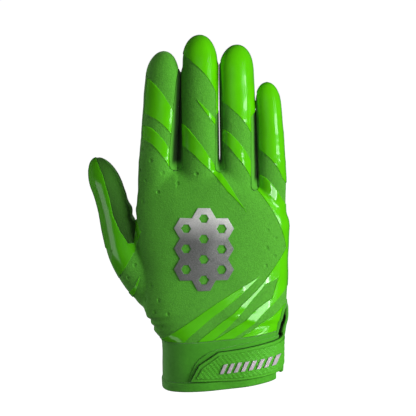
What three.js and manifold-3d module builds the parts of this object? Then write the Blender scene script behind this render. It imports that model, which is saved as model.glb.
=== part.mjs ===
// A football receiver's glove for the right hand, in the filled-out shape that it has when worn.
// Its stretch back and grip palm are sewn to strips between the fingers, gloss films are bonded to the
// back, and a band at the wrist, slit on the little finger's side, closes with a strap.
// Units are mm. +X points to the little finger, -Y out of the back of the hand and +Z to the fingertips.
// The origin is the centre of the wrist opening.

import * as THREE from "three";
import { mergeVertices } from "three/addons/utils/BufferGeometryUtils.js";
import Module from "manifold-3d";

const wasm = await Module();
wasm.setup();

// Driving dimensions: thicknesses.
const FABRIC = 1.4; // wall of the back, the palm and the strips
const GAP = 0.3; // slack left between two sewn pieces
const FILM_FROM = 0.35; // a bonded film's inner and outer distance from the cloth
const FILM_TO = 0.85;

// Driving dimensions: the hand inside.
const WEB_Z = 138; // height of the webs between index, middle and ring finger
const ROOT_Z = 96; // where the finger tubes start, deep inside the hand
const FINGER_DEPTH = 0.86; // a finger's depth over its width
const TIP_LENGTH = 1.55; // length of a rounded fingertip over its half width
const ROUNDNESS = 2.25; // exponent of the rounded sections, 2 for an ellipse
const ROOT_SHRINK = 2.4; // how much slimmer a finger's root is, so that it sinks into the hand
const ROOT_FLATTEN = 0.82;

const FINGERS = [
  { name: "index", webX: -40.8, tipX: -36.9, tipZ: 211.2, webHalf: 12.0, tipHalf: 10.7 },
  { name: "middle", webX: -14.6, tipX: -14.1, tipZ: 221.0, webHalf: 11.6, tipHalf: 11.0 },
  { name: "ring", webX: 9.8, tipX: 8.4, tipZ: 215.8, webHalf: 11.1, tipHalf: 10.6 },
  { name: "little", webX: 31.2, tipX: 28.1, tipZ: 193.5, webHalf: 8.7, tipHalf: 8.4 },
];

// Sections of the wrist and the hand: left and right edge, and depth to the back and the palm side.
// From the wrist seam up to z 50 the left edge steps out in the gathers that the band pulls into the cloth.
const HAND = [
  { z: -6.0, left: -37.2, right: 35.4, back: 23.8, palm: 25.6 },
  { z: 22.0, left: -37.6, right: 36.2, back: 23.6, palm: 25.4 },
  { z: 32.2, left: -37.9, right: 37.8, back: 23.3, palm: 25.2 },
  { z: 33.6, left: -39.4, right: 38.4, back: 23.0, palm: 25.0 },
  { z: 35.2, left: -41.6, right: 39.0, back: 22.6, palm: 24.8 },
  { z: 40.6, left: -43.0, right: 40.0, back: 21.8, palm: 24.4 },
  { z: 43.4, left: -45.1, right: 40.6, back: 21.2, palm: 24.1 },
  { z: 46.6, left: -46.0, right: 41.0, back: 20.7, palm: 23.8 },
  { z: 49.6, left: -49.6, right: 41.2, back: 20.1, palm: 23.4 },
  { z: 56.0, left: -50.0, right: 41.4, back: 19.0, palm: 22.6 },
  { z: 72.0, left: -50.4, right: 41.5, back: 16.6, palm: 21.6 },
  { z: 90.0, left: -53.2, right: 41.8, back: 14.6, palm: 19.6 },
  { z: 108.0, left: -54.4, right: 42.4, back: 13.2, palm: 17.0 },
  { z: 122.0, left: -53.2, right: 42.8, back: 12.0, palm: 13.8 },
  { z: 131.0, left: -51.4, right: 41.8, back: 10.4, palm: 10.6 },
  { z: 136.0, left: -48.8, right: 38.0, back: 7.0, palm: 7.2 },
];
const HAND_TOP = { z: 138.6, x: 0 };
const WEB_FALL = 0.58; // how steeply the top of the hand falls to the little finger, right of WEB_FALL_X
const WEB_FALL_X = 2;
const HAND_SQUARE = 2.6;

// The thumb's centre line from inside the hand to its last joint, with its half width.
const THUMB = [
  { x: -33.0, y: 3.0, z: 51.3, half: 12.0 },
  { x: -43.6, y: 4.0, z: 61.9, half: 12.8 },
  { x: -52.5, y: 5.5, z: 71.0, half: 13.0 },
  { x: -60.5, y: 6.5, z: 81.2, half: 12.2 },
  { x: -65.0, y: 7.5, z: 95.2, half: 11.6 },
  { x: -69.5, y: 8.0, z: 111.0, half: 10.3 },
  { x: -72.8, y: 9.0, z: 122.6, half: 10.0 },
];
const THUMB_TIP = { x: -81.0, y: 10.5, z: 141.4 };
const THUMB_SQUARE = 2.1;
const THUMB_DEPTH = 0.95;

// Driving dimensions: the wrist band, and what lies on it, as heights and as distances from the wrist's oval.
const WRIST_TOP = 32;
const HEM = { top: 6.4, out: 1.3, in: -2.0 };
const HEM_ROLL = [
  { height: 0, inset: 1.1 },
  { height: 1.6, inset: 0.2 },
  { height: 3.8, inset: 0 },
  { height: 5.4, inset: 0.3 },
  { height: 6.4, inset: 1.1 },
];
const CUFF = { out: 0.6, in: -FABRIC };
const LANDING_PAD = { from: 0.9, to: 1.5 };
const STRAP = { from: 1.8, to: 3.2 };
const STRAP_PAD = { from: 3.5, to: 4.2 };
const BARS = { from: 4.5, to: 5.1, low: 11.8, high: 17.8 };
const BAR_ROW = { count: 8, first: 1.5, pitch: 4.4, width: 2.4, slant: 2.6 };
const BINDING = { width: 2.8, front: 1.8, side: 3.2, in: -0.9, foot: 27.6, sideFoot: 0.6 };

// How the cut pieces are bent into the worn shape.
const CUFF_TILT = Math.tan(THREE.MathUtils.degToRad(6)); // the band rises towards the little finger
const ARCH = 0.0017; // the hand's edges curl to the palm side
const ARCH_X = -5;
const CURL = 0.0011; // so do the fingers
const CURL_Z = 134;

// The bend: tilts the wrist, arches the hand across and curls the fingers.
function worn(p) {
  const tilt = CUFF_TILT * (1 - THREE.MathUtils.smoothstep(p.z, 34, 84));
  const arch = ARCH * THREE.MathUtils.smoothstep(p.z, 30, 110) * (p.x - ARCH_X) ** 2;
  const curl = CURL * Math.max(0, p.z - CURL_Z) ** 2;
  return new THREE.Vector3(p.x, p.y + arch + curl, p.z + tilt * p.x);
}

const upright = new THREE.Vector3(0, 0, 1);

// One ring of points round a rounded section, whose width lies in the front view.
function ring({ centre, along = upright, half, back, palm, square }, sides) {
  const across = new THREE.Vector3(along.z, 0, -along.x).normalize();
  const deep = new THREE.Vector3().crossVectors(along, across);
  const points = [];
  for (let i = 0; i < sides; i++) {
    const angle = (2 * Math.PI * i) / sides;
    const c = Math.cos(angle);
    const s = Math.sin(angle);
    const wide = half * Math.sign(c) * Math.abs(c) ** (2 / square);
    const depth = (s < 0 ? back : palm) * Math.sign(s) * Math.abs(s) ** (2 / square);
    points.push(centre.clone().addScaledVector(across, wide).addScaledVector(deep, depth));
  }
  return points;
}

// A closed body through rings of points, each end closed to a middle point.
function loft(rings, start, end) {
  const sides = rings[0].length;
  const positions = [start, ...rings.flat(), end].flatMap((p) => [p.x, p.y, p.z]);
  const last = 1 + rings.length * sides;
  const faces = [];
  for (let i = 0; i < sides; i++) {
    const j = (i + 1) % sides;
    faces.push(0, 1 + j, 1 + i);
    for (let r = 0; r < rings.length - 1; r++) {
      const a = 1 + r * sides;
      const b = a + sides;
      faces.push(a + i, a + j, b + j, a + i, b + j, b + i);
    }
    faces.push(last - sides + i, last - sides + j, last);
  }
  const geometry = new THREE.BufferGeometry();
  geometry.setAttribute("position", new THREE.Float32BufferAttribute(positions, 3));
  geometry.setIndex(faces);
  return solid(geometry);
}

// A three.js geometry as a solid that can be joined and cut.
function solid(geometry) {
  geometry.deleteAttribute("normal");
  geometry.deleteAttribute("uv");
  const merged = mergeVertices(geometry, 1e-4);
  const vertProperties = new Float32Array(merged.attributes.position.array);
  const triVerts = new Uint32Array(merged.index.array);
  return new wasm.Manifold(new wasm.Mesh({ numProp: 3, vertProperties, triVerts }));
}

const join = (parts) => parts.reduce((all, part) => all.add(part));
const mix = THREE.MathUtils.lerp;

// Rings of a rounded end: from the full section at `base` to the tip, as an ellipse's quarter.
function roundedEnd(base, tip, section, steps) {
  const rings = [];
  for (let i = 1; i < steps; i++) {
    const angle = (Math.PI / 2) * (i / steps);
    const shrink = Math.cos(angle);
    const centre = base.clone().lerp(tip, Math.sin(angle));
    const { half, back, palm } = section;
    rings.push({ ...section, centre, half: half * shrink, back: back * shrink, palm: palm * shrink });
  }
  return rings;
}

// A finger: a straight tube that leans a little from the web to the tip, with a rounded end.
function finger({ webX, tipX, tipZ, webHalf, tipHalf }, grow, sides, steps) {
  const axis = (z) => new THREE.Vector3(mix(webX, tipX, (z - WEB_Z) / (tipZ - WEB_Z)), 0, z);
  const baseZ = tipZ - TIP_LENGTH * tipHalf;
  const section = (z) => {
    const t = THREE.MathUtils.clamp((z - WEB_Z) / (baseZ - WEB_Z), -1, 1);
    const root = THREE.MathUtils.smoothstep(z, ROOT_Z, WEB_Z);
    const half = mix(webHalf, tipHalf, Math.max(t, 0)) - ROOT_SHRINK * (1 - root);
    const depth = half * FINGER_DEPTH * mix(ROOT_FLATTEN, 1, root);
    return { centre: axis(z), half: half + grow, back: depth + grow, palm: depth + grow, square: ROUNDNESS };
  };
  const heights = [ROOT_Z, (ROOT_Z + WEB_Z) / 2, WEB_Z];
  for (let i = 1; i <= steps; i++) heights.push(mix(WEB_Z, baseZ, i / steps));
  const tip = axis(tipZ + grow);
  const rows = [...heights.map(section), ...roundedEnd(axis(baseZ), tip, section(baseZ), TIP_STEPS)];
  return loft(rows.map((row) => ring(row, sides)), axis(ROOT_Z), tip);
}

// The thumb: a tube along its centre line.
function thumb(grow, sides) {
  const spine = THUMB.map(({ x, y, z }) => new THREE.Vector3(x, y, z));
  const tip = new THREE.Vector3(THUMB_TIP.x, THUMB_TIP.y, THUMB_TIP.z);
  const last = spine[spine.length - 1];
  const ahead = [...spine, tip];
  const rows = THUMB.map(({ half }, i) => {
    const along = ahead[i + 1].clone().sub(ahead[Math.max(i - 1, 0)]).normalize();
    const depth = half * THUMB_DEPTH + grow;
    return { centre: spine[i], along, half: half + grow, back: depth, palm: depth, square: THUMB_SQUARE };
  });
  const along = tip.clone().sub(last).normalize();
  const grownTip = tip.clone().addScaledVector(along, grow);
  rows.push(...roundedEnd(last, grownTip, { ...rows[rows.length - 1], along }, THUMB_TIP_STEPS));
  return loft(rows.map((row) => ring(row, sides)), spine[0], grownTip);
}

// The hand without its fingers, with the wrist below it.
function hand(grow, sides) {
  const fall = (p) => {
    const weight = THREE.MathUtils.smoothstep(p.z, 92, 136);
    p.z -= WEB_FALL * weight * Math.max(0, p.x - WEB_FALL_X);
    return p;
  };
  const rings = HAND.map(({ z, left, right, back, palm }) => {
    const rise = grow * THREE.MathUtils.smoothstep(z, 108, 131);
    const centre = new THREE.Vector3((left + right) / 2, 0, z + rise);
    const half = (right - left) / 2 + grow;
    return ring({ centre, half, back: back + grow, palm: palm + grow, square: HAND_SQUARE }, sides).map(fall);
  });
  const bottom = new THREE.Vector3(0, 0, HAND[0].z);
  const top = new THREE.Vector3(HAND_TOP.x, 0, HAND_TOP.z + grow);
  return loft(rings, bottom, top);
}

// Sides round the hand and the fingers and steps along a finger: the outside, and the plainer inside.
const FULL = { hand: 24, finger: 12, steps: 2 };
const PLAIN = { hand: 14, finger: 8, steps: 1 };
const TIP_STEPS = 4;
const THUMB_TIP_STEPS = 4;

function body(grow, detail) {
  const fingers = FINGERS.map((row) => finger(row, grow, detail.finger, detail.steps));
  return join([hand(grow, detail.hand), thumb(grow, detail.finger), ...fingers]);
}

const FAR = 120; // past the glove on every side
const CURVE_SEGMENTS = 4; // of a bowed edge

function extrusion(shape, depth) {
  return new THREE.ExtrudeGeometry(shape, { depth, bevelEnabled: false, curveSegments: CURVE_SEGMENTS });
}

// A prism whose outline is drawn in the front view, x to the right and z up, from y `near` to y `far`.
function frontPrism(points, near = -FAR, far = FAR) {
  return solid(extrusion(outline(points), far - near).rotateX(Math.PI / 2).translate(0, far, 0));
}

// A prism whose outline is drawn in the side view, y to the right and z up, from x `near` to x `far`.
function sidePrism(points, near = -FAR, far = FAR) {
  const turned = new THREE.Matrix4().makeBasis(
    new THREE.Vector3(0, 1, 0),
    new THREE.Vector3(0, 0, 1),
    new THREE.Vector3(1, 0, 0),
  );
  return solid(extrusion(outline(points), far - near).applyMatrix4(turned).translate(near, 0, 0));
}

// An outline through points; a point with a third number bows the edge that leads to it, to its left.
function outline(points) {
  const shape = new THREE.Shape();
  shape.moveTo(points[0][0], points[0][1]);
  [...points.slice(1), points[0]].forEach(([x, z, bow = 0], i) => {
    const [fromX, fromZ] = points[i];
    const length = Math.hypot(x - fromX, z - fromZ);
    const controlX = (x + fromX) / 2 - (2 * bow * (z - fromZ)) / length;
    const controlZ = (z + fromZ) / 2 + (2 * bow * (x - fromX)) / length;
    if (bow) shape.quadraticCurveTo(controlX, controlZ, x, z);
    else shape.lineTo(x, z);
  });
  return shape;
}

const skins = new Map();

// The body grown by `grow`, kept for the next piece that needs it.
function skin(grow) {
  if (!skins.has(grow)) skins.set(grow, body(grow, FULL));
  return skins.get(grow);
}
const layer = ({ from, to }) => skin(to).subtract(skin(from));
const above = (piece, z) => piece.trimByPlane([0, 0, 1], z);
const below = (piece, z) => piece.trimByPlane([0, 0, -1], -z);
const backOf = (piece, y) => piece.trimByPlane([0, -1, 0], -y);
const palmOf = (piece, y) => piece.trimByPlane([0, 1, 0], y);

// An outline of straight edges moved out by `by`.
function grown(points, by) {
  return points.map(([x, z], i) => {
    const [beforeX, beforeZ] = points[(i + points.length - 1) % points.length];
    const [afterX, afterZ] = points[(i + 1) % points.length];
    const normalIn = new THREE.Vector2(z - beforeZ, beforeX - x).normalize();
    const normalOut = new THREE.Vector2(afterZ - z, x - afterX).normalize();
    const mitre = normalIn.clone().add(normalOut).normalize();
    const reach = by / Math.max(mitre.dot(normalIn), 0.5);
    return [x + mitre.x * reach, z + mitre.y * reach];
  });
}

// The slit on the little finger's side, drawn in the side view, anticlockwise from its foot.
const SLIT = [
  [1.5, -8],
  [1.5, 30],
  [0.8, 38],
  [-0.6, 43],
  [-2.6, 45],
  [-5, 43.4],
  [-7.2, 39],
  [-8.2, 30],
  [-9.6, 20],
  [-12.5, 6],
  [-14.5, -8],
];
const SIDE_X = 20;
const slitHole = (by) => sidePrism(grown(SLIT, by), SIDE_X);
const boundHole = slitHole(BINDING.width + GAP);

// The cloth shell of the hand, above the wrist seam.
const shell = above(skin(0), WRIST_TOP + GAP).subtract(body(-FABRIC, PLAIN)).subtract(boundHole);

// Strips between the fingers: a pointed outline in the side view, and a funnel round the gap in the
// front view.
const STRIP_DEPTH = 7.2; // half its depth at the web, which tapers to the tip
const STRIP_TAPER = 2.4;
const STRIP_FOOT = 3.4; // how far it reaches down past the web
const STRIP_HALF = 3.4; // half its width there
const STRIP_TIP = 9; // how far it ends below the shorter fingertip
const FACING = 2; // where two fingers face each other, no film is bonded on
const FACING_Y = -4.5;

// The height of the web at x: the hand's last section closes to its top point in straight lines.
function webHeight(x) {
  const last = HAND[HAND.length - 1];
  const edgeX = x < HAND_TOP.x ? last.left : last.right;
  const edgeZ = last.z - WEB_FALL * Math.max(0, edgeX - WEB_FALL_X);
  return mix(HAND_TOP.z, edgeZ, (x - HAND_TOP.x) / (edgeX - HAND_TOP.x));
}

const strips = FINGERS.slice(1).map((right, i) => {
  const left = FINGERS[i];
  const gapX = (left.webX + left.webHalf + right.webX - right.webHalf) / 2;
  const web = webHeight(gapX);
  const top = Math.min(left.tipZ, right.tipZ) - STRIP_TIP;
  const side = [
    [-STRIP_DEPTH - 1, web - 2 * STRIP_FOOT],
    [STRIP_DEPTH + 1, web - 2 * STRIP_FOOT],
    [STRIP_DEPTH, web + 6],
    [STRIP_DEPTH - STRIP_TAPER, mix(web, top, 0.45)],
    [0, top],
    [-STRIP_DEPTH + STRIP_TAPER, mix(web, top, 0.45)],
    [-STRIP_DEPTH, web + 6],
  ];
  const front = [
    [gapX - STRIP_HALF * 0.55, web - STRIP_FOOT],
    [gapX + STRIP_HALF * 0.55, web - STRIP_FOOT],
    [gapX + STRIP_HALF, web - STRIP_FOOT * 0.5],
    [gapX + STRIP_HALF, web + 5],
    [right.webX, web + 16],
    [right.tipX, top + 6],
    [left.tipX, top + 6],
    [left.webX, web + 16],
    [gapX - STRIP_HALF, web + 5],
    [gapX - STRIP_HALF, web - STRIP_FOOT * 0.5],
  ];
  const zone = (by) => sidePrism(grown(side, by)).intersect(frontPrism(grown(front, by)));
  const topX = (left.tipX + left.tipHalf + right.tipX - right.tipHalf) / 2;
  const facing = [
    [gapX - FACING, web - FACING],
    [gapX + FACING, web - FACING],
    [topX + FACING, top + 2 * STRIP_TIP],
    [topX - FACING, top + 2 * STRIP_TIP],
  ];
  const between = frontPrism(facing, FACING_Y);
  return { name: `fourchette_${left.name}_${right.name}`, gapX, topX, zone, between };
});

// The thumb's pieces: a zone in the front view parts it from the hand, and its front is split along a seam.
const THUMB_ZONE = [
  [-55.6, 107],
  [-58, 128],
  [-66, 170],
  [-FAR, 170],
  [-FAR, 56],
  [-68, 62],
  [-64.8, 68.4],
  [-56.8, 84],
  [-55, 97],
];
const THUMB_SEAM = [
  [-81, 150],
  [-79.5, 140],
  [-75.2, 131],
  [-70.9, 116],
  [-69, 106.5],
  [-64.6, 96],
  [-59.5, 89.5],
  [-56.2, 96.5],
  [-54, 108],
  [-40, 108],
  [-40, 150],
];
const THUMB_SPLIT_Y = 7;
const thumbZone = (by) => frontPrism(grown(THUMB_ZONE, by));
const thumbShell = shell.intersect(thumbZone(0));
const thumbFront = backOf(thumbShell, THUMB_SPLIT_Y);
const thumbSeam = (by) => frontPrism(grown(THUMB_SEAM, by));

const handShell = strips.reduce(
  (rest, { zone }) => rest.subtract(zone(GAP)),
  shell.subtract(thumbZone(GAP)),
);

// The wrist: the band, its rolled hem and the bound edge of the slit.
function hem() {
  const { top, out } = HEM;
  const oval = (grow, z) => {
    const { left, right, back, palm } = HAND[1];
    const centre = new THREE.Vector3((left + right) / 2, 0, z);
    const half = (right - left) / 2 + grow;
    return ring({ centre, half, back: back + grow, palm: palm + grow, square: HAND_SQUARE }, FULL.hand);
  };
  const rings = HEM_ROLL.map(({ height, inset }) => oval(out - inset, height));
  const core = loft(rings, new THREE.Vector3(0, 0, 0), new THREE.Vector3(0, 0, top));
  const foot = new THREE.Vector3(0, 0, -1);
  const inside = loft([oval(HEM.in, -1), oval(HEM.in, top + 1)], foot, new THREE.Vector3(0, 0, top + 1));
  return core.subtract(inside);
}
const wristCut = join([slitHole(0), palmOf(boundHole, -GAP), above(boundHole, BINDING.foot - GAP)]);
const cuffBand = above(below(skin(CUFF.out).subtract(skin(CUFF.in)), WRIST_TOP), HEM.top + GAP);

// The front leg starts above the pad; the leg on the palm side runs down to the hem and stands proud.
function binding() {
  const edge = slitHole(BINDING.width).subtract(slitHole(0));
  const front = above(backOf(layer({ from: BINDING.in, to: BINDING.front }), 0), BINDING.foot);
  const side = above(palmOf(layer({ from: BINDING.in, to: BINDING.side }), 0), BINDING.sideFoot);
  return front.add(side).intersect(edge);
}

const glove = new THREE.Group();
glove.name = "glove";

// Materials.
function material(color, roughness, metalness = 0) {
  return new THREE.MeshStandardMaterial({ color, roughness, metalness });
}
const FABRIC_GREEN = material(0x3f9a22, 0.85);
const GRIP_GREEN = material(0x2f7d1c, 0.6);
const GUSSET_GREEN = material(0x2f7420, 0.85);
const BAND_GREEN = material(0x44a01f, 0.7);
const STRAP_GREEN = material(0x4fb027, 0.55);
const FILM_GREEN = material(0x58d800, 0.15);
const FOIL_SILVER = material(0xb4b8b4, 0.35, 0.9);

// Bends a piece into the worn shape and adds it to the glove.
function add(name, flat, look) {
  const { vertProperties, triVerts, numProp } = flat.getMesh();
  const positions = [];
  for (let i = 0; i < vertProperties.length; i += numProp) {
    const p = worn(new THREE.Vector3(...vertProperties.slice(i, i + 3)));
    positions.push(p.x, p.y, p.z);
  }
  const geometry = new THREE.BufferGeometry();
  geometry.setAttribute("position", new THREE.Float32BufferAttribute(positions, 3));
  geometry.setIndex(Array.from(triVerts));
  geometry.computeVertexNormals();
  const mesh = new THREE.Mesh(geometry, look);
  mesh.name = name;
  glove.add(mesh);
}

// The back and the palm, with each finger's part of them from just below the webs up.
const SIDE_X_EDGE = 60; // past the hand's edges
const FINGER_TOP = 224; // past the longest finger
const KNUCKLE_Z = { left: 133, belowWeb: 1.2, right: 102 };
const betweenFingers = [
  { x: -SIDE_X_EDGE, z: KNUCKLE_Z.left, topX: -SIDE_X_EDGE },
  ...strips.map(({ gapX, topX }) => ({ x: gapX, z: webHeight(gapX) - KNUCKLE_Z.belowWeb, topX })),
  { x: SIDE_X_EDGE, z: KNUCKLE_Z.right, topX: SIDE_X_EDGE },
];
const fingerZones = FINGERS.map((_, i) => {
  const [left, right] = [betweenFingers[i], betweenFingers[i + 1]];
  const zone = [
    [left.x, left.z],
    [right.x, right.z],
    [right.topX, FINGER_TOP],
    [left.topX, FINGER_TOP],
  ];
  return (by) => frontPrism(grown(zone, by));
});
const backShell = backOf(handShell, -GAP / 2);
const palmShell = palmOf(handShell, GAP / 2);
const belowFingers = (piece) => fingerZones.reduce((rest, zone) => rest.subtract(zone(GAP)), piece);
add("back_panel", belowFingers(backShell), FABRIC_GREEN);
add("palm_panel", belowFingers(palmShell), GRIP_GREEN);
FINGERS.forEach(({ name }, i) => {
  add(`back_${name}`, backShell.intersect(fingerZones[i](0)), FABRIC_GREEN);
  add(`palm_${name}`, palmShell.intersect(fingerZones[i](0)), GRIP_GREEN);
});
strips.forEach(({ name, zone }) => add(name, shell.intersect(zone(0)), FABRIC_GREEN));
add("thumb_back", thumbFront.subtract(thumbSeam(GAP)), FABRIC_GREEN);
add("thumb_gusset", thumbFront.intersect(thumbSeam(0)), GUSSET_GREEN);
add("thumb_palm", palmOf(thumbShell, THUMB_SPLIT_Y + GAP), GRIP_GREEN);
add("cuff", cuffBand.subtract(wristCut), BAND_GREEN);
add("cuff_hem", hem().subtract(wristCut), BAND_GREEN);
add("slit_binding", binding(), BAND_GREEN);

// The pad under the strap, the strap, its ribbed inset and the bars on it, drawn in the front view.
const PAD_OUTLINE = [
  [-21, HEM.top + GAP],
  [45, HEM.top + GAP],
  [45, 27.2],
  [4, 27.2],
  [-10.5, 24, 1.2],
  [-19.2, 13, 0.8],
];
const STRAP_OUTLINE = [
  [-19.4, 6.6],
  [20, 7.2],
  [45, 5.4],
  [45, 27],
  [14, 26.2],
  [-2.1, 25.2],
  [-14.1, 17.6],
];
const STRAP_PAD_OUTLINE = [
  [-16.4, 8.8],
  [20, 9.2],
  [38, 8.2],
  [38, 24.6],
  [14, 24],
  [-1.2, 23],
  [-12.6, 15.8],
];
const STRAP_END_Y = 1.2;
const padLayer = backOf(layer(LANDING_PAD), 0).subtract(slitHole(GAP));
add("landing_pad", padLayer.intersect(frontPrism(PAD_OUTLINE, -FAR, 0)), BAND_GREEN);
add("strap", layer(STRAP).intersect(frontPrism(STRAP_OUTLINE, -FAR, STRAP_END_Y)), STRAP_GREEN);
add("strap_pad", layer(STRAP_PAD).intersect(frontPrism(STRAP_PAD_OUTLINE, -FAR, 0)), STRAP_GREEN);
for (let i = 0; i < BAR_ROW.count; i++) {
  const { first, pitch, width, slant } = BAR_ROW;
  const x = first + i * pitch;
  const bar = [
    [x, BARS.low],
    [x + width, BARS.low],
    [x + width + slant, BARS.high],
    [x + slant, BARS.high],
  ];
  add(`strap_bar_${i + 1}`, layer(BARS).intersect(frontPrism(bar, -FAR, 0)), FOIL_SILVER);
}

// The emblem: a plate of pierced hexagons.
const EMBLEM = { x: -11.5, z: 89, radius: 7.4, hole: 3.3, from: FILM_FROM, to: 1.1 };
const EMBLEM_COLUMNS = [3, 4, 3]; // cells in each column
const CELL_OVERLAP = 0.02; // so that neighbouring cells join

function hexagon(x, z, radius) {
  return Array.from({ length: 6 }, (_, i) => {
    const angle = (Math.PI / 3) * i;
    return [x + radius * Math.cos(angle), z + radius * Math.sin(angle)];
  });
}

function emblem() {
  const { x, z, radius, hole } = EMBLEM;
  const cells = EMBLEM_COLUMNS.flatMap((count, column) => {
    const cellX = x + (column - (EMBLEM_COLUMNS.length - 1) / 2) * radius * 1.5;
    return Array.from({ length: count }, (_, row) => {
      const cellZ = z + (row - (count - 1) / 2) * radius * Math.sqrt(3);
      const plate = frontPrism(hexagon(cellX, cellZ, radius + CELL_OVERLAP), -FAR, 0);
      return plate.subtract(frontPrism(hexagon(cellX, cellZ, hole)));
    });
  });
  return layer(EMBLEM).intersect(join(cells));
}
add("back_emblem", emblem(), FOIL_SILVER);

// Gloss films bonded to the cloth, drawn in the front view; a third number bows the edge before a point.
// Each film stays clear of the strips between the fingers, and ends before the seam at the hand's edge.
const FILM_EDGE_Y = -0.6;
const GAP_X = strips.map(({ gapX }) => gapX);
const FILM_OUTLINES = {
  film_index_upper: [
    [-60, 202],
    [-46.5, 194.7],
    [-34.5, 181.3, 1.2],
    [-30.7, 174, 0.4],
    [-31.4, 158.8],
    [-41.5, 169.8, -1],
    [-60, 176, -0.8],
  ],
  film_index_lower: [
    [-60, 166.2],
    [-44, 164.2, 0.6],
    [-32.7, 150, 1.2],
    [-33.4, 139.6],
    [-44.1, 154.2, -0.8],
    [-60, 159.6, -0.6],
  ],
  film_middle_tip: [
    [GAP_X[0], 209.8],
    [-18.3, 204.8, 0.6],
    [-4.5, 186.3, 1.8],
    [GAP_X[1], 182],
    [GAP_X[1], 240],
    [GAP_X[0], 240],
  ],
  film_middle_sliver: [
    [-16.2, 183],
    [-3.5, 168.6, 0.6],
    [-3.5, 164.4],
  ],
  film_middle_slash: [
    [-26, 167.2],
    [-19.7, 162.4, 0.6],
    [-4.8, 141, 0.8],
    [9.4, 121, 0.6],
    [15.6, 111.2],
    [3.4, 124.7, -0.4],
    [-14.5, 144.5, -0.6],
    [-26, 153.6, -0.8],
  ],
  film_ring_tip: [
    [GAP_X[1], 181],
    [4.5, 177.4, 0.6],
    [18.1, 159.8, 1.6],
    [GAP_X[2] - 0.4, 154],
    [GAP_X[2] - 2, 190],
    [GAP_X[2] - 2, 240],
    [GAP_X[1], 240],
  ],
  film_ring_lower: [
    [-1, 164],
    [5.2, 161.2, 0.4],
    [17.8, 143.6, 1.2],
    [17.8, 132.4],
    [8, 147.8, -0.8],
    [-1, 157, -0.6],
  ],
  film_little_tip: [
    [GAP_X[2], 151],
    [27, 147.4, 0.4],
    [37.3, 132.2, 1.4],
    [50, 112],
    [50, 220],
    [GAP_X[2], 220],
  ],
  film_side: [
    [GAP_X[2], 134.8],
    [27.4, 132.4, 0.3],
    [37.2, 119.2, 0.8],
    [50, 94, 0.6],
    [50, 64],
    [35.2, 52.3],
    [19.9, 40, -0.6],
    [6, 31],
    [-2.4, 31],
    [12.7, 41.8],
    [31.2, 56, 1.4],
    [34.9, 68.1],
    [27.2, 64.8],
    [14.1, 51.9, 0.4],
    [-5.6, 31],
    [-17, 31],
    [3.3, 44.9],
    [27.2, 67.9, -0.6],
    [40.1, 86.8],
    [33.6, 107.6, -1],
    [GAP_X[2], 125.4, -0.8],
  ],
  film_wrist_corner: [
    [9.5, 31],
    [50, 31],
    [50, 59],
    [32.3, 44.4],
  ],
  film_wrist_leaf: [
    [23.1, 70.6],
    [-7.5, 52.9],
    [-36.4, 35.4],
    [-44, 31],
    [-26.6, 31],
    [-14.7, 40.1],
    [10.5, 60.4, -0.4],
  ],
  film_thumb_leaf: [
    [-51.2, 72.4],
    [-58.5, 60.5, 0.4],
    [-66, 51],
    [-60, 48],
    [-56, 58.4],
  ],
};
const THUMB_FILM_OUTLINE = [
  [-90, 150],
  [-81.2, 150],
  [-79.8, 140],
  [-75.5, 131],
  [-71.2, 116],
  [-69.3, 106.5],
  [-64.9, 96],
  [-59.5, 89],
  [-56, 96],
  [-54.4, 104.5],
  [-50.9, 97.4],
  [-55.2, 84.5],
  [-65, 69],
  [-70.1, 75.7],
  [-69.6, 83.9],
  [-90, 84.5],
];

const filmLayer = above(layer({ from: FILM_FROM, to: FILM_TO }), WRIST_TOP + GAP).subtract(boundHole);
const handFilm = strips.reduce(
  (rest, { zone, between }) => rest.subtract(zone(GAP)).subtract(between),
  backOf(filmLayer, FILM_EDGE_Y),
);
for (const [name, points] of Object.entries(FILM_OUTLINES)) {
  add(name, handFilm.intersect(frontPrism(points, -FAR, 0)), FILM_GREEN);
}
const thumbFilm = backOf(filmLayer, THUMB_SPLIT_Y - FILM_TO);
add("film_thumb", thumbFilm.intersect(frontPrism(THUMB_FILM_OUTLINE)), FILM_GREEN);

export default glove;
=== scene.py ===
import math

import bmesh
import bpy
import numpy as np
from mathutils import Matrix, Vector, noise
from mathutils.bvhtree import BVHTree


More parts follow.
